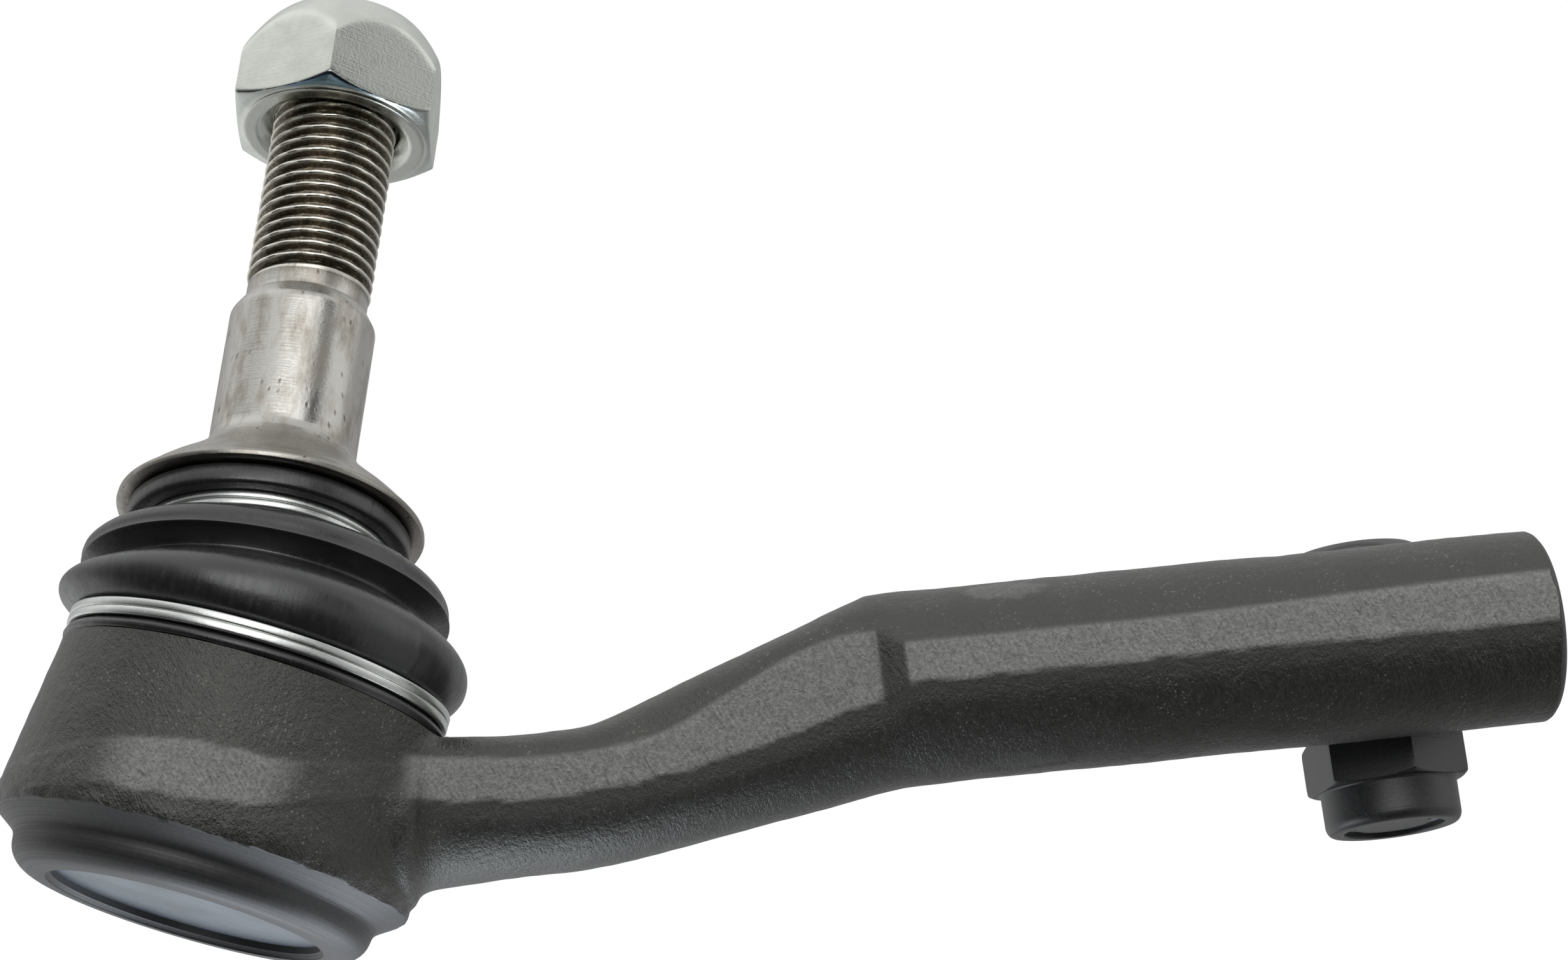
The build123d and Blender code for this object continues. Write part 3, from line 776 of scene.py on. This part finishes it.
def forged_offsets(points, normals):
    """How far the forged surface strays from its ideal shape, in millimetres."""
    away = 0.11 * noise(points, 9.0, 11) + 0.05 * noise(points, 3.2, 12) + 0.028 * noise(points, 1.3, 13)
    low, high = band_limits(points[:, 0])
    edge = low + 0.22 * noise_along(points[:, 0], 2.6, 14) + 0.12 * noise_along(points[:, 0], 0.9, 15)
    front = smooth_step(0.35, 0.8, np.abs(normals[:, 1]))
    on_bar = front * smooth_step(-126.5, -123.5, points[:, 0])
    band = smooth_step(-0.25, 0.25, points[:, 2] - edge) * (1 - smooth_step(-0.1, 0.7, points[:, 2] - high))
    away += on_bar * band * (0.10 + 0.05 * noise(points, 0.9, 16))
    strip = smooth_step(-3.4, -0.6, points[:, 2] - edge) * (1 - smooth_step(-0.25, 0.05, points[:, 2] - edge))
    away -= on_bar * strip * (0.05 + 0.07 * noise(points, 1.0, 17))
    # The step out to the tube and two patches along it keep a different skin
    step = smooth_step(ARM_END - 0.3, ARM_END + 0.1, points[:, 0])
    step = step * (1 - smooth_step(TUBE_START - 0.2, TUBE_START + 0.2, points[:, 0]))
    band = band * (1 - 0.95 * step)
    strip = np.maximum(strip, 0.7 * step * (points[:, 2] < high + 0.5) * (points[:, 2] > low))
    light_patch = 0.3 * skin_patch(points, (-59.8, -6.0, 8.6), (4.9, 3.2, 1.5), 24)
    dark_patch = skin_patch(points, (-59.0, -3.6, -9.8), (5.4, 2.8, 1.1), 25)
    away -= 0.08 * dark_patch - 0.06 * light_patch * noise(points, 1.2, 26)
    # The same band goes round the eye as a low, uneven ledge
    local = HOUSING.into(points)
    turn = np.degrees(np.arctan2(local[:, 0], -local[:, 1]))
    eye_high, eye_low = eye_band(turn)
    from_axis = np.hypot(local[:, 0], local[:, 1])
    on_eye = smooth_step(20.2, 20.8, from_axis) * (1 - smooth_step(23.2, 24.0, from_axis))
    eye_edge = eye_low + 0.35 * noise(points, 2.4, 18)
    eye_top = eye_high + 0.25 * noise(points, 2.0, 19)
    eye_share = smooth_step(-0.3, 0.3, local[:, 2] - eye_edge)
    eye_share = eye_share * (1 - smooth_step(-0.3, 0.3, local[:, 2] - eye_top))
    away += on_eye * eye_share * (0.10 + 0.06 * noise(points, 1.0, 20))
    away += on_eye * (1 - eye_share) * 0.03 * noise(points, 1.6, 21)
    lowest = on_eye * (1 - smooth_step(-10.8, -9.6, local[:, 2]))
    away += lowest * (0.22 * noise(points, 3.4, 22) + 0.10 * noise(points, 1.4, 23))
    # The band's lighter skin round the eye is kept mostly to its front and back, where it is partly a painted
    # highlight; it fades out towards the arm and the far end
    folded = -np.abs(turn)
    worn = 0.06 + 0.94 * smooth_step(-126, -108, folded) * (1 - smooth_step(-80, -64, folded))
    band = np.maximum(on_bar * band, light_patch)
    strip = np.maximum(on_bar * strip, dark_patch)
    return away, band, strip, on_eye * eye_share * worn


def inside_cutter():
    """Everything turned away above the eye and inside it, as one shape."""
    outline = (
        (21.5, 18.0), (21.5, 7.6), (17.6, 7.6), (17.6, 8.8), (17.0, 9.4), (17.0, 10.8), (17.6, 11.4),
        (17.6, 12.2), (15.7, 12.2), (12.7, 7.4), (12.7, 6.6), (16.0, 6.6), (16.0, -14.1), (17.02, -14.1),
        (17.02, -15.6), (14.6, -15.6), (14.65, -16.3), (15.0, -16.7), (15.5, -18.5),
    )
    return turned("inside_cutter", HOUSING, np.array(outline), 200)


def underside_cutter():
    """What the lathe takes off below the eye, leaving a cone, a groove and the crimped ring."""
    outline = (
        (24.6, -9.4), (22.6, -11.0), (21.4, -11.85), (20.6, -12.4), (20.0, -12.85), (19.6, -13.3),
        (19.42, -13.8),
        (19.36, -14.4), (19.22, -15.0), (18.9, -15.6), (18.4, -16.15), (17.7, -16.6), (16.9, -16.84),
        (16.0, -16.9), (10.0, -16.9), (10.0, -24.0), (24.6, -24.0),
    )
    return turned("underside_cutter", HOUSING, rounded(outline, 0.4, 3), 260, closed=True)


def drilled(name, place, radius, low, high, around):
    """A round cutter between two heights."""
    return turned(name, place, np.array(((radius, low), (radius, high))), around)


def cut_box(low, high):
    """A box between two corners, as a cutter."""
    (x0, y0, z0), (x1, y1, z1) = low, high
    rings = np.array([
        [(x0, y0, z), (x1, y0, z), (x1, y1, z), (x0, y1, z)] for z in (z0, z1)
    ])
    return grid_object("cut_box", rings)


def socket_cutter():
    """The socket's thread, cut right through the mouth and running out at its inner end."""
    around = 56
    heights = np.arange(-SOCKET_DEPTH, 1.01, 0.25)
    angle = np.arange(around) / around * tau
    turn, height = np.meshgrid(angle, heights)
    phase = (height / PITCH - turn / tau) % 1.0
    depth = np.clip((np.abs(2 * phase - 1) - 0.2) / 0.55, 0, 1)
    radius = SOCKET_MAJOR_RADIUS - SOCKET_THREAD_DEPTH * depth * smooth_step(-SOCKET_DEPTH, -54, height)
    radius = np.maximum(radius, 7.9 - 1.2 * np.abs(np.minimum(height, 0)))
    rings = polar(radius, turn, height)
    return grid_object("socket_cutter", TUBE.out(rings))


def mouth_cutter():
    """Trims the tube's mouth flat, with a chamfer."""
    outline = (
        (9.5, 0.0), (9.9, -0.12), (10.3, -0.45), (10.6, -1.0), (11.2, -2.4), (14.0, -2.4), (14.0, 2.0),
        (4.0, 2.0), (4.0, 0.0),
    )
    return turned("mouth_cutter", TUBE, np.array(outline), 160, closed=True)


def soften_junction(forging):
    """Blends the arm into the eye's wall, more at the sides and below than on top."""
    points = points_of(forging)
    near = 1 - smooth_step(1.5, 5.0, np.abs(from_eye_wall(HOUSING.into(points)) - 0.6))
    near = near * smooth_step(-129, -127, points[:, 0]) * (1 - smooth_step(-4.0, -1.5, points[:, 2]))
    near = near * smooth_step(-16.8, -15.2, points[:, 2]) * (np.abs(points[:, 1]) < 16)
    group = forging.vertex_groups.new(name="junction")
    for index in np.flatnonzero(near > 0.02):
        group.add([int(index)], float(near[index]), "REPLACE")
    modifier = forging.modifiers.new("junction", "SMOOTH")
    modifier.vertex_group = "junction"
    modifier.factor = 0.5
    modifier.iterations = 60
    apply_modifiers(forging)


def build_forging():
    """The forging: skin, eye and ears joined, roughened as forged, then machined."""
    forging = forging_bar()
    combine(forging, forged_eye(), "UNION")
    combine(forging, clamp_ears(), "UNION")
    remesh = forging.modifiers.new("skin", "REMESH")
    remesh.mode = "VOXEL"
    remesh.voxel_size = VOXEL * MM
    soften = forging.modifiers.new("soften", "SMOOTH")
    soften.factor = 0.5
    soften.iterations = 3
    apply_modifiers(forging)
    soften_junction(forging)
    points, normals = points_of(forging), normals_of(forging)
    away = forged_offsets(points, normals)[0]
    set_points(forging, points + normals * away[:, None])
    # Machined faces are told apart by the cutters' second material
    forging.data.materials.clear()
    forging.data.materials.append(SKIN)
    forging.data.materials.append(TURNED)
    slot_end = Place((SLOT_END, 0, 0), (0, 1, 0), (1, 0, 0))
    for cutter in (
        underside_cutter(), inside_cutter(), mouth_cutter(), socket_cutter(),
        drilled("bolt_hole", CLAMP, BOLT_HOLE_RADIUS, -14, 14, 64),
        drilled("spot_top", CLAMP, SPOT_FACE_RADIUS, EAR_HALF_HEIGHT, 12.0, 96),
        drilled("spot_under", CLAMP, SPOT_FACE_RADIUS, -12.0, -EAR_HALF_HEIGHT, 96),
        cut_box((SLOT_END, 0, -SLOT_HALF_WIDTH), (2, 30, SLOT_HALF_WIDTH)),
        drilled("relief", slot_end, SLOT_RELIEF_RADIUS, 0.0, 24.0, 48),
    ):
        cutter.data.materials.append(SKIN)
        cutter.data.materials.append(TURNED)
        cutter.data.polygons.foreach_set("material_index", np.ones(len(cutter.data.polygons), dtype=np.int32))
        combine(forging, cutter, "DIFFERENCE")
    points, normals = points_of(forging), normals_of(forging)
    _, band, strip, eye = forged_offsets(points, normals)
    # Round the eye the band's lighter colour is partly a painted highlight
    write_values(forging, "band", np.maximum(band, eye))
    write_values(forging, "strip", strip)
    write_places(forging, "along", points)
    machined = np.zeros(len(forging.data.polygons), dtype=np.int32)
    forging.data.polygons.foreach_get("material_index", machined)
    finish_piece(forging, HOUSING, "housing", "forging", (SKIN, TURNED))
    forging.data.polygons.foreach_set("material_index", machined)
    forging.name = "forging_body"


# ---- Stud and its nut ----------------------------------------------------------------------------


def thread_depth(height, turn):
    """Depth of a thread below its crest, from 0 to 1, on a right-hand helix."""
    phase = (height / PITCH - turn / tau) % 1.0
    return np.clip((np.abs(2 * phase - 1) - 0.16) / 0.6, 0, 1)


def stud_thread(turn, height, radius):
    """The stud's thread as a cut into its blank, running out smoothly at the shank."""
    cut = smooth_step(56.6, 58.2, height) * (1 - smooth_step(89.0, 89.6, height))
    wear = 0.05 * noise(polar(10, turn, height), 1.6, 31)
    depth = thread_depth(height, turn)
    away = -(0.78 * depth - np.clip(wear, 0, 1) * (1 - depth)) * cut
    marks = 0.012 * noise(polar(9, turn, 0.4 * height), 2.0, 32)
    return away + marks * (height > 26)


def build_stud():
    """Ball, neck, flange, ground shank and thread, one piece."""
    ball = [(13 * cos(angle), 13 * sin(angle)) for angle in np.radians(np.arange(-69, 54.5, 3))]
    lower = rounded([(4.2, -12.1)] + ball + [(7.5, 11.4), (7.5, 16.0), (10.6, 21.6), (10.6, 28.0)], 0.4)
    flange = (
        (10.6, 28.0), (16.1, 28.02), (16.62, 28.15), (16.75, 28.45), (16.7, 28.8), (16.4, 29.1), (15.9, 29.5),
        (14.9, 30.45), (13.6, 31.55), (12.2, 32.6), (10.8, 33.7), (9.6, 34.75), (8.8, 35.7), (8.3, 36.5),
        (8.1, 37.3),
    )
    shank = ((8.1, 37.3), (8.1, 52.9), (7.0, 54.7), (6.75, 54.9), (6.75, 57.1), (6.95, 57.5))
    upper = np.concatenate((
        finer(np.array(flange), 0.35), finer(rounded(shank, 0.35), 0.5)[1:],
        np.stack((np.full(320, 6.95), np.linspace(57.6, 88.4, 320)), axis=-1), ((5.75, 89.6), (3.0, 89.6)),
    ))
    profile = np.concatenate((finer(lower, 1.2), upper[1:]))
    stud = turned("ball_stud_body", STUD, profile, 144, bumps=stud_thread)
    local = STUD.into(points_of(stud))
    turn = np.arctan2(local[:, 1], local[:, 0])
    write_values(stud, "thread", smooth_step(56.0, 57.4, local[:, 2]))
    # The crest share, which carries the painted highlight on the thread's crests
    write_values(stud, "crest", 1 - thread_depth(local[:, 2], turn))
    finish_piece(stud, STUD, "stud", "ball_stud", (STEEL,), 40)


def hexagon(across_flats, first_corner, outline, inner, around):
    """Rings of a hexagon cut to a turned outline, with its edges worn round, and a turned inside."""
    angle = np.arange(around) / around * tau
    towards = (angle - first_corner) % (pi / 3) - pi / 6
    flat = across_flats / 2 / np.cos(towards)
    rings = []
    for radius, height in outline:
        worn = -np.log(np.exp(-EDGE_SHARPNESS * flat) + np.exp(-EDGE_SHARPNESS * radius)) / EDGE_SHARPNESS
        rings.append(polar(worn, angle, height))
    for radius, height in inner:
        rings.append(polar(radius, angle, height))
    return np.array(rings)


def build_stud_nut():
    """Zinc-plated locking nut: hexagon, turned bearing ring, domed top over the nylon ring."""
    seat = NUT_SEAT
    top = seat + 14.0
    outline = (
        (9.0, seat + 0.02), (10.3, seat + 0.02), (10.55, seat + 0.3), (11.4, seat + 0.5), (12.75, seat + 1.2),
        (13.3, seat + 1.8), (13.6, seat + 3.0), (13.6, seat + 5.4), (13.2, seat + 6.2), (12.7, seat + 7.0),
        (12.15, seat + 8.2), (11.55, seat + 9.4), (10.95, seat + 10.5), (10.3, seat + 11.6),
        (9.6, seat + 12.6),
        (9.0, seat + 13.3), (8.5, top - 0.2), (7.9, top),
    )
    inner = (
        (7.65, top - 0.15), (7.61, top - 1.0), (9.2, top - 1.0), (9.2, top - 4.2), (7.01, top - 4.2),
        (7.01, seat + 1.5), (8.5, seat + 0.12), (8.7, seat + 0.02),
    )
    outline = finer(rounded(outline, 0.25, 3), 0.35)
    facing = STUD.into(BALL + unit(np.array((0.0, -1.0, 0.0))))
    first = np.arctan2(facing[1], facing[0]) + radians(-5.0)
    rings = hexagon(22.0, first, outline, finer(rounded(inner, 0.1, 3), 0.8), 288)
    nut = grid_object("stud_nut_body", STUD.out(rings), closed=True)
    local, normals = STUD.into(points_of(nut)), normals_of(nut)
    # Share of a painted blue reflection: the lower chamfer where it faces down, most at the corner that faces
    # the front
    facing_down = smooth_step(0.25, 0.6, -normals @ STUD.z)
    outside = smooth_step(10.6, 11.0, np.hypot(local[:, 0], local[:, 1])) * (local[:, 2] < seat + 3.2)
    from_front = np.abs((np.arctan2(local[:, 1], local[:, 0]) - first + pi) % tau - pi)
    at_front = 1 - smooth_step(radians(22), radians(34), from_front)
    write_values(nut, "painted_blue_reflection", facing_down * outside * (0.12 + 0.88 * at_front))
    finish_piece(nut, STUD, "nut", "stud_nut", (ZINC,), 35)


# ---- Dust boot and its rings ---------------------------------------------------------------------

# Outer skin of the boot: share of the tilt, height along the leaning axis, radius
BOOT_SKIN = (
    (0.0, 7.66, 17.66), (0.0, 7.64, 20.2), (0.0, 7.8, 20.75), (0.0, 8.3, 20.9), (0.0, 8.75, 20.6),
    (0.0, 9.02, 20.1), (0.0, 9.12, 19.82), (0.0, 11.0, 19.82), (0.02, 11.15, 20.15), (0.06, 11.5, 20.75),
    (0.12, 12.1, 21.35), (0.22, 12.9, 21.95), (0.32, 13.8, 22.2), (0.41, 14.6, 22.05), (0.48, 15.3, 21.4),
    (0.53, 15.95, 20.3), (0.57, 16.5, 19.0), (0.60, 17.0, 17.8), (0.62, 17.45, 17.2), (0.64, 17.85, 17.3),
    (0.66, 18.3, 18.0), (0.68, 18.7, 18.95), (0.69, 18.9, 19.65), (0.695, 19.0, 19.95), (0.705, 19.15, 19.88),
    (0.73, 19.5, 19.85), (0.76, 20.1, 19.85), (0.79, 20.7, 19.6), (0.82, 21.15, 19.1), (0.86, 21.65, 18.1),
    (0.90, 22.0, 16.7), (0.94, 22.4, 15.3), (0.97, 22.8, 14.1), (1.0, 23.15, 13.2), (1.0, 23.4, 12.95),
    (1.0, 25.2, 12.95), (1.0, 25.35, 13.4), (1.0, 25.42, 14.6), (1.0, 25.52, 15.25), (1.0, 25.75, 15.5),
    (1.0, 26.4, 15.55), (1.0, 27.1, 15.5), (1.0, 27.65, 15.35), (1.0, 27.88, 14.8), (1.0, 27.95, 13.0),
    (1.0, 27.97, 10.66),
)
# Inside of the boot, from the stud down to the housing's neck
BOOT_INSIDE = (
    (1.0, 22.4, 10.66), (0.99, 22.0, 12.4), (0.94, 21.3, 15.0), (0.88, 20.7, 17.0), (0.80, 20.3, 17.9),
    (0.75, 19.9, 17.5), (0.69, 18.9, 16.4), (0.64, 18.0, 15.7), (0.60, 17.1, 15.9), (0.56, 16.2, 17.4),
    (0.50, 15.1, 19.4), (0.42, 14.3, 20.4), (0.32, 13.7, 20.6), (0.2, 13.0, 20.2), (0.1, 12.3, 19.6),
    (0.04, 11.9, 18.8), (0.0, 11.7, 17.66),
)


def boot_rings(table, around):
    """Rings of the boot, each across an axis that leans a share of the way to the stud."""
    angle = np.arange(around) / around * tau
    rings = []
    for share, height, radius in table:
        lean = STUD_TILT * share
        axis = HOUSING_UP * cos(lean) + TILT_SIDE * sin(lean)
        place = Place(BALL, axis, BACK)
        local = polar(radius, angle, height)
        rings.append(place.out(local))
    return np.array(rings)


def denser(table, parts):
    """A table's rows with smooth rows between them."""
    table = np.asarray(table, dtype=float)
    steps = np.arange(len(table), dtype=float)
    wanted = np.linspace(0, len(table) - 1, (len(table) - 1) * parts + 1)
    return table_at(np.concatenate((steps[:, None], table), axis=1), wanted)


def build_boot():
    """The rubber boot: lip, two convolutions with their mould line, collar under the flange."""
    table = np.concatenate((denser(BOOT_SKIN, 4), denser(BOOT_INSIDE, 3)))
    rings = boot_rings(table, 320)
    boot = grid_object("dust_boot_skin", rings, closed=True)
    points, normals = points_of(boot), normals_of(boot)
    local = HOUSING.into(points)
    away = 0.05 * noise(points, 6.0, 41) + 0.02 * noise(points, 2.0, 42)
    turn = np.arctan2(local[:, 0], -local[:, 1])
    seam = np.exp(-((turn - radians(-41.0)) * 21.0 / 0.3) ** 2) * (local[:, 2] > 11.5)
    away += 0.09 * seam
    # A lip that waves a little where it meets the eye
    lip = 1 - smooth_step(8.2, 9.0, local[:, 2])
    away += lip * (0.10 * np.sin(3 * turn + 0.8) + 0.08 * noise(points, 5.0, 43)) * (local[:, 2] > 7.7)
    set_points(boot, points + normals * away[:, None])
    finish_piece(boot, HOUSING, "boot", "dust_boot", (RUBBER,), 60)
    boot.parent = None
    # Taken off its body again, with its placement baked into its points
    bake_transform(boot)


def wire_coil(name, place, radius, height, wire, body, node):
    """A spring wire of two turns that crosses over at the back, its ends cut square."""
    turns = np.linspace(0.05, 2 * tau - 0.75, 420)
    step = wire - 0.03
    level = -step + 2 * step * smooth_step(tau - 0.62, tau - 0.02, turns)
    section = np.arange(20) / 20 * tau
    across = signed_power(np.cos(section), WIRE_ROUNDNESS) * wire
    along = signed_power(np.sin(section), WIRE_ROUNDNESS) * wire
    reach = radius + wire + 0.02 + across[None, :]
    local = polar(reach, turns[:, None], height + level[:, None] + along[None, :])
    ring = grid_object(name, place.out(local))
    finish_piece(ring, place, body, node, (WIRE,), 50)


# ---- Clamp bolt and nut --------------------------------------------------------------------------


def build_pinch_bolt():
    """Clamp bolt: chamfered hexagon head, plain shank and a short thread."""
    low = EAR_HALF_HEIGHT
    head = (
        (4.9, low - 0.4), (7.4, low - 0.02), (7.7, low + 0.02), (7.8, low + 0.3), (9.3, low + 0.5),
        (9.6, low + 1.0), (9.6, low + 4.9), (9.2, low + 5.3), (8.0, low + 6.2), (7.0, low + 6.85),
        (6.5, low + 6.95), (3.0, low + 6.93),
    )
    angle = radians(45.3 - 90.0)
    shape = hexagon(16.0, angle, finer(rounded(head, 0.2, 3), 0.5), (), 216)
    heights = np.concatenate(([low - 24.6], np.arange(low - 23.9, -8.0, 0.12), [-7.4, 0.0, low - 0.5]))
    turns = np.arange(216) / 216 * tau
    turn, height = np.meshgrid(turns, heights)
    cut = 1 - smooth_step(-9.2, -7.8, height)
    radius = 4.95 - 0.85 * thread_depth(height, turn) * cut
    radius = np.where(height < low - 24.2, 4.1, radius)
    shank = polar(radius, turn, height)
    bolt = grid_object("pinch_bolt_body", CLAMP.out(np.concatenate((shank, shape))))
    finish_piece(bolt, CLAMP, "housing", "pinch_bolt", (BLACK,), 35)


def build_pinch_nut():
    """Clamp nut: hexagon with a round collar that holds the nylon ring."""
    top = -EAR_HALF_HEIGHT
    bottom = top - 11.0
    outline = (
        (6.0, top - 0.01), (7.4, top - 0.02), (7.75, top - 0.1), (8.6, top - 0.45), (9.25, top - 0.9),
        (9.6, top - 1.6), (9.6, top - 5.1), (9.3, top - 5.8), (8.6, top - 6.15), (7.85, top - 6.2),
        (7.68, top - 6.4), (7.66, bottom + 0.9), (7.45, bottom + 0.35), (7.1, bottom + 0.05), (6.4, bottom),
    )
    inner = (
        (5.75, bottom + 0.03), (5.66, bottom + 0.2), (5.66, bottom + 0.8), (6.5, bottom + 0.8),
        (6.5, bottom + 3.6), (5.06, bottom + 3.6), (5.06, top - 0.8), (5.8, top - 0.05),
    )
    angle = radians(35.8 - 90.0)
    rings = hexagon(
        16.0, angle, finer(rounded(outline, 0.22, 3), 0.35), finer(rounded(inner, 0.1, 3), 0.8), 240
    )
    nut = grid_object("pinch_nut_body", CLAMP.out(rings), closed=True)
    finish_piece(nut, CLAMP, "pinch_nut", "pinch_nut", (BLACK,), 35)


# ---- Everything together -------------------------------------------------------------------------

SKIN = forged_skin()
TURNED = turned_black()
STEEL = stud_steel()
ZINC = bright_metal(
    "bright_zinc", grey(0.70, 0.965, 0.91), grey(0.56, 0.97, 0.93), (0.16, 0.28), 0.006, with_painted_reflection=True
)
WIRE = bright_metal("wire_zinc", grey(0.74, 0.97, 0.96), grey(0.56, 0.98, 0.98), (0.24, 0.34), 0.001)
RUBBER = boot_skin()
BLACK = black_fastener()

build_forging()
build_stud()
build_stud_nut()
build_boot()
wire_coil("lower_ring_wire", HOUSING, 19.8, 10.05, 0.5, "housing", "lower_clamp_ring")
wire_coil("upper_ring_wire", STUD, 12.9, 24.5, 0.45, "boot_top", "upper_clamp_ring")
build_pinch_bolt()
build_pinch_nut()

ACETAL = plain_inside("acetal", grey(0.80, 1.02, 0.90), grey(0.70, 1.02, 0.86), (0.42, 0.55), 0.0, 0.15)
SPRING = plain_inside("spring_steel", grey(0.42), grey(0.30, 1.05, 0.9), (0.28, 0.42), 1.0, 0.2)
COVER = plain_inside(
    "cover_zinc", (0.25, 0.285, 0.32, 1.0), (0.18, 0.205, 0.23, 1.0), (0.34, 0.46), 1.0, 0.12
)
NYLON = plain_inside("nylon", (0.70, 0.76, 0.80, 1.0), (0.58, 0.66, 0.72, 1.0), (0.38, 0.5), 0.0, 0.3)
for node_name, material in (
    ("upper_bearing_seat", ACETAL), ("lower_bearing_seat", ACETAL), ("preload_spring_washer", SPRING),
    ("cover_plate", COVER), ("stud_nut_insert", NYLON), ("pinch_nut_insert", NYLON),
):
    node = frame["nodes"][node_name]
    node.data.materials.clear()
    node.data.materials.append(material)

# ---- Camera, surroundings and floor --------------------------------------------------------------

camera_data = bpy.data.cameras.new("camera")
camera_data.sensor_width = 36.0
camera_data.lens = 102.27
camera_data.clip_end = 20.0
camera = linked("camera", camera_data)
right = Vector((0.98678, -0.10701, -0.12175))
up = Vector((0.09178, -0.25027, 0.96382))
back = Vector((-0.13361, -0.96224, -0.23714))
facing = Matrix((right, up, back)).transposed().to_4x4()
camera.matrix_world = Matrix.Translation((-0.1455, -0.4651, -0.0903)) @ facing
bpy.context.scene.camera = camera
bpy.context.scene.view_settings.view_transform = "Standard"


def surroundings():
    """White seen directly; the light itself is a sum of broad and narrow lights, some of them negative."""
    world = bpy.data.worlds.new("surroundings")
    bpy.context.scene.world = world
    world.use_nodes = True
    tree = world.node_tree
    tree.nodes.clear()
    add = partial(add_node, tree)
    direction = add("ShaderNodeTexCoord").outputs["Generated"]
    total = add("ShaderNodeValue").outputs[0]
    total.default_value = EVEN_LIGHT
    for towards, start, end, level in LIGHT_LOBES:
        facing = add(
            "ShaderNodeVectorMath", {0: direction, 1: tuple(unit(towards))}, operation="DOT_PRODUCT"
        ).outputs["Value"]
        reach = {"Value": facing, "From Min": cos(radians(start)), "From Max": cos(radians(end)),
                 "To Min": 0.0, "To Max": level}
        part = add("ShaderNodeMapRange", reach, clamp=True, interpolation_type="SMOOTHSTEP").outputs[0]
        total = add("ShaderNodeMath", {0: total, 1: part}, operation="ADD").outputs[0]
    total = add("ShaderNodeMath", {0: total, 1: 0.01}, operation="MAXIMUM").outputs[0]
    seen = add("ShaderNodeLightPath").outputs["Is Camera Ray"]
    light = add("ShaderNodeBackground", {"Color": (0.985, 0.992, 1.0, 1.0), "Strength": total})
    plain = add("ShaderNodeBackground", {"Color": (1.0, 1.0, 1.0, 1.0), "Strength": 1.0})
    mixed = add("ShaderNodeMixShader", {0: seen, 1: light.outputs[0], 2: plain.outputs[0]})
    add("ShaderNodeOutputWorld", {0: mixed.outputs[0]})


FRONT_VIEW = (0.1336, 0.9622, 0.2371)


def off_the_shank(turn):
    """The direction that the shank mirrors to the front at an angle round its axis."""
    view = unit(FRONT_VIEW)
    along = np.dot(view, STUD_UP)
    across = along * STUD_UP - view
    side = np.cross(STUD_UP, across)
    return unit(along * STUD_UP + across * cos(radians(turn)) + side * sin(radians(turn)))


EVEN_LIGHT = 0.46
# Direction, angles in degrees where the light starts and where it is full, and its level
LIGHT_LOBES = (
    ((0.0, 0.0, 1.0), 75, 20, 0.38),
    ((0.0, 0.25, -1.0), 50, 15, -0.25),
    ((-0.1, -1.0, -0.72), 52, 24, -0.8),
    (off_the_shank(18), 18, 9, 1.0),
    (off_the_shank(44), 14, 5, -0.7),
    (off_the_shank(76), 30, 10, 0.5),
    (off_the_shank(-75), 60, 20, 0.25),
    ((-0.13, -0.96, 0.28), 30, 12, 2.2),
    ((-1.0, -0.35, 0.1), 50, 18, -0.55),
    ((-0.6, 0.8, -0.25), 40, 10, 0.4),
)
surroundings()

# A soft light below the eye and the start of the arm
glow_data = bpy.data.lights.new("glow", "AREA")
glow_data.shape = "RECTANGLE"
glow_data.size = 0.10
glow_data.size_y = 0.08
glow_data.energy = 0.07
glow_data.color = (0.84, 0.91, 1.0)
glow = linked("glow", glow_data)
glow.matrix_world = Matrix.Translation((-0.14, 0.03, -0.08)) @ Matrix.Rotation(pi, 4, "X")
glow.visible_camera = False

floor_mesh = bpy.data.meshes.new("floor")
floor_mesh.from_pydata([(-4, -4, -0.11), (4, -4, -0.11), (4, 4, -0.11), (-4, 4, -0.11)], [], [(0, 1, 2, 3)])
floor = linked("floor", floor_mesh)
floor_shader = Shader("floor_paper")
floor_grain = floor_shader.noise(floor_shader.cad_place(), 0.4, 3.0)
floor.data.materials.append(
    floor_shader.finish(
        floor_shader.mix(floor_grain, grey(0.78), grey(0.80)), 0.8, 0.0, floor_shader.bump(floor_grain, 0.05)
    )
)
floor.visible_diffuse = False
floor.visible_glossy = False
floor.visible_shadow = False
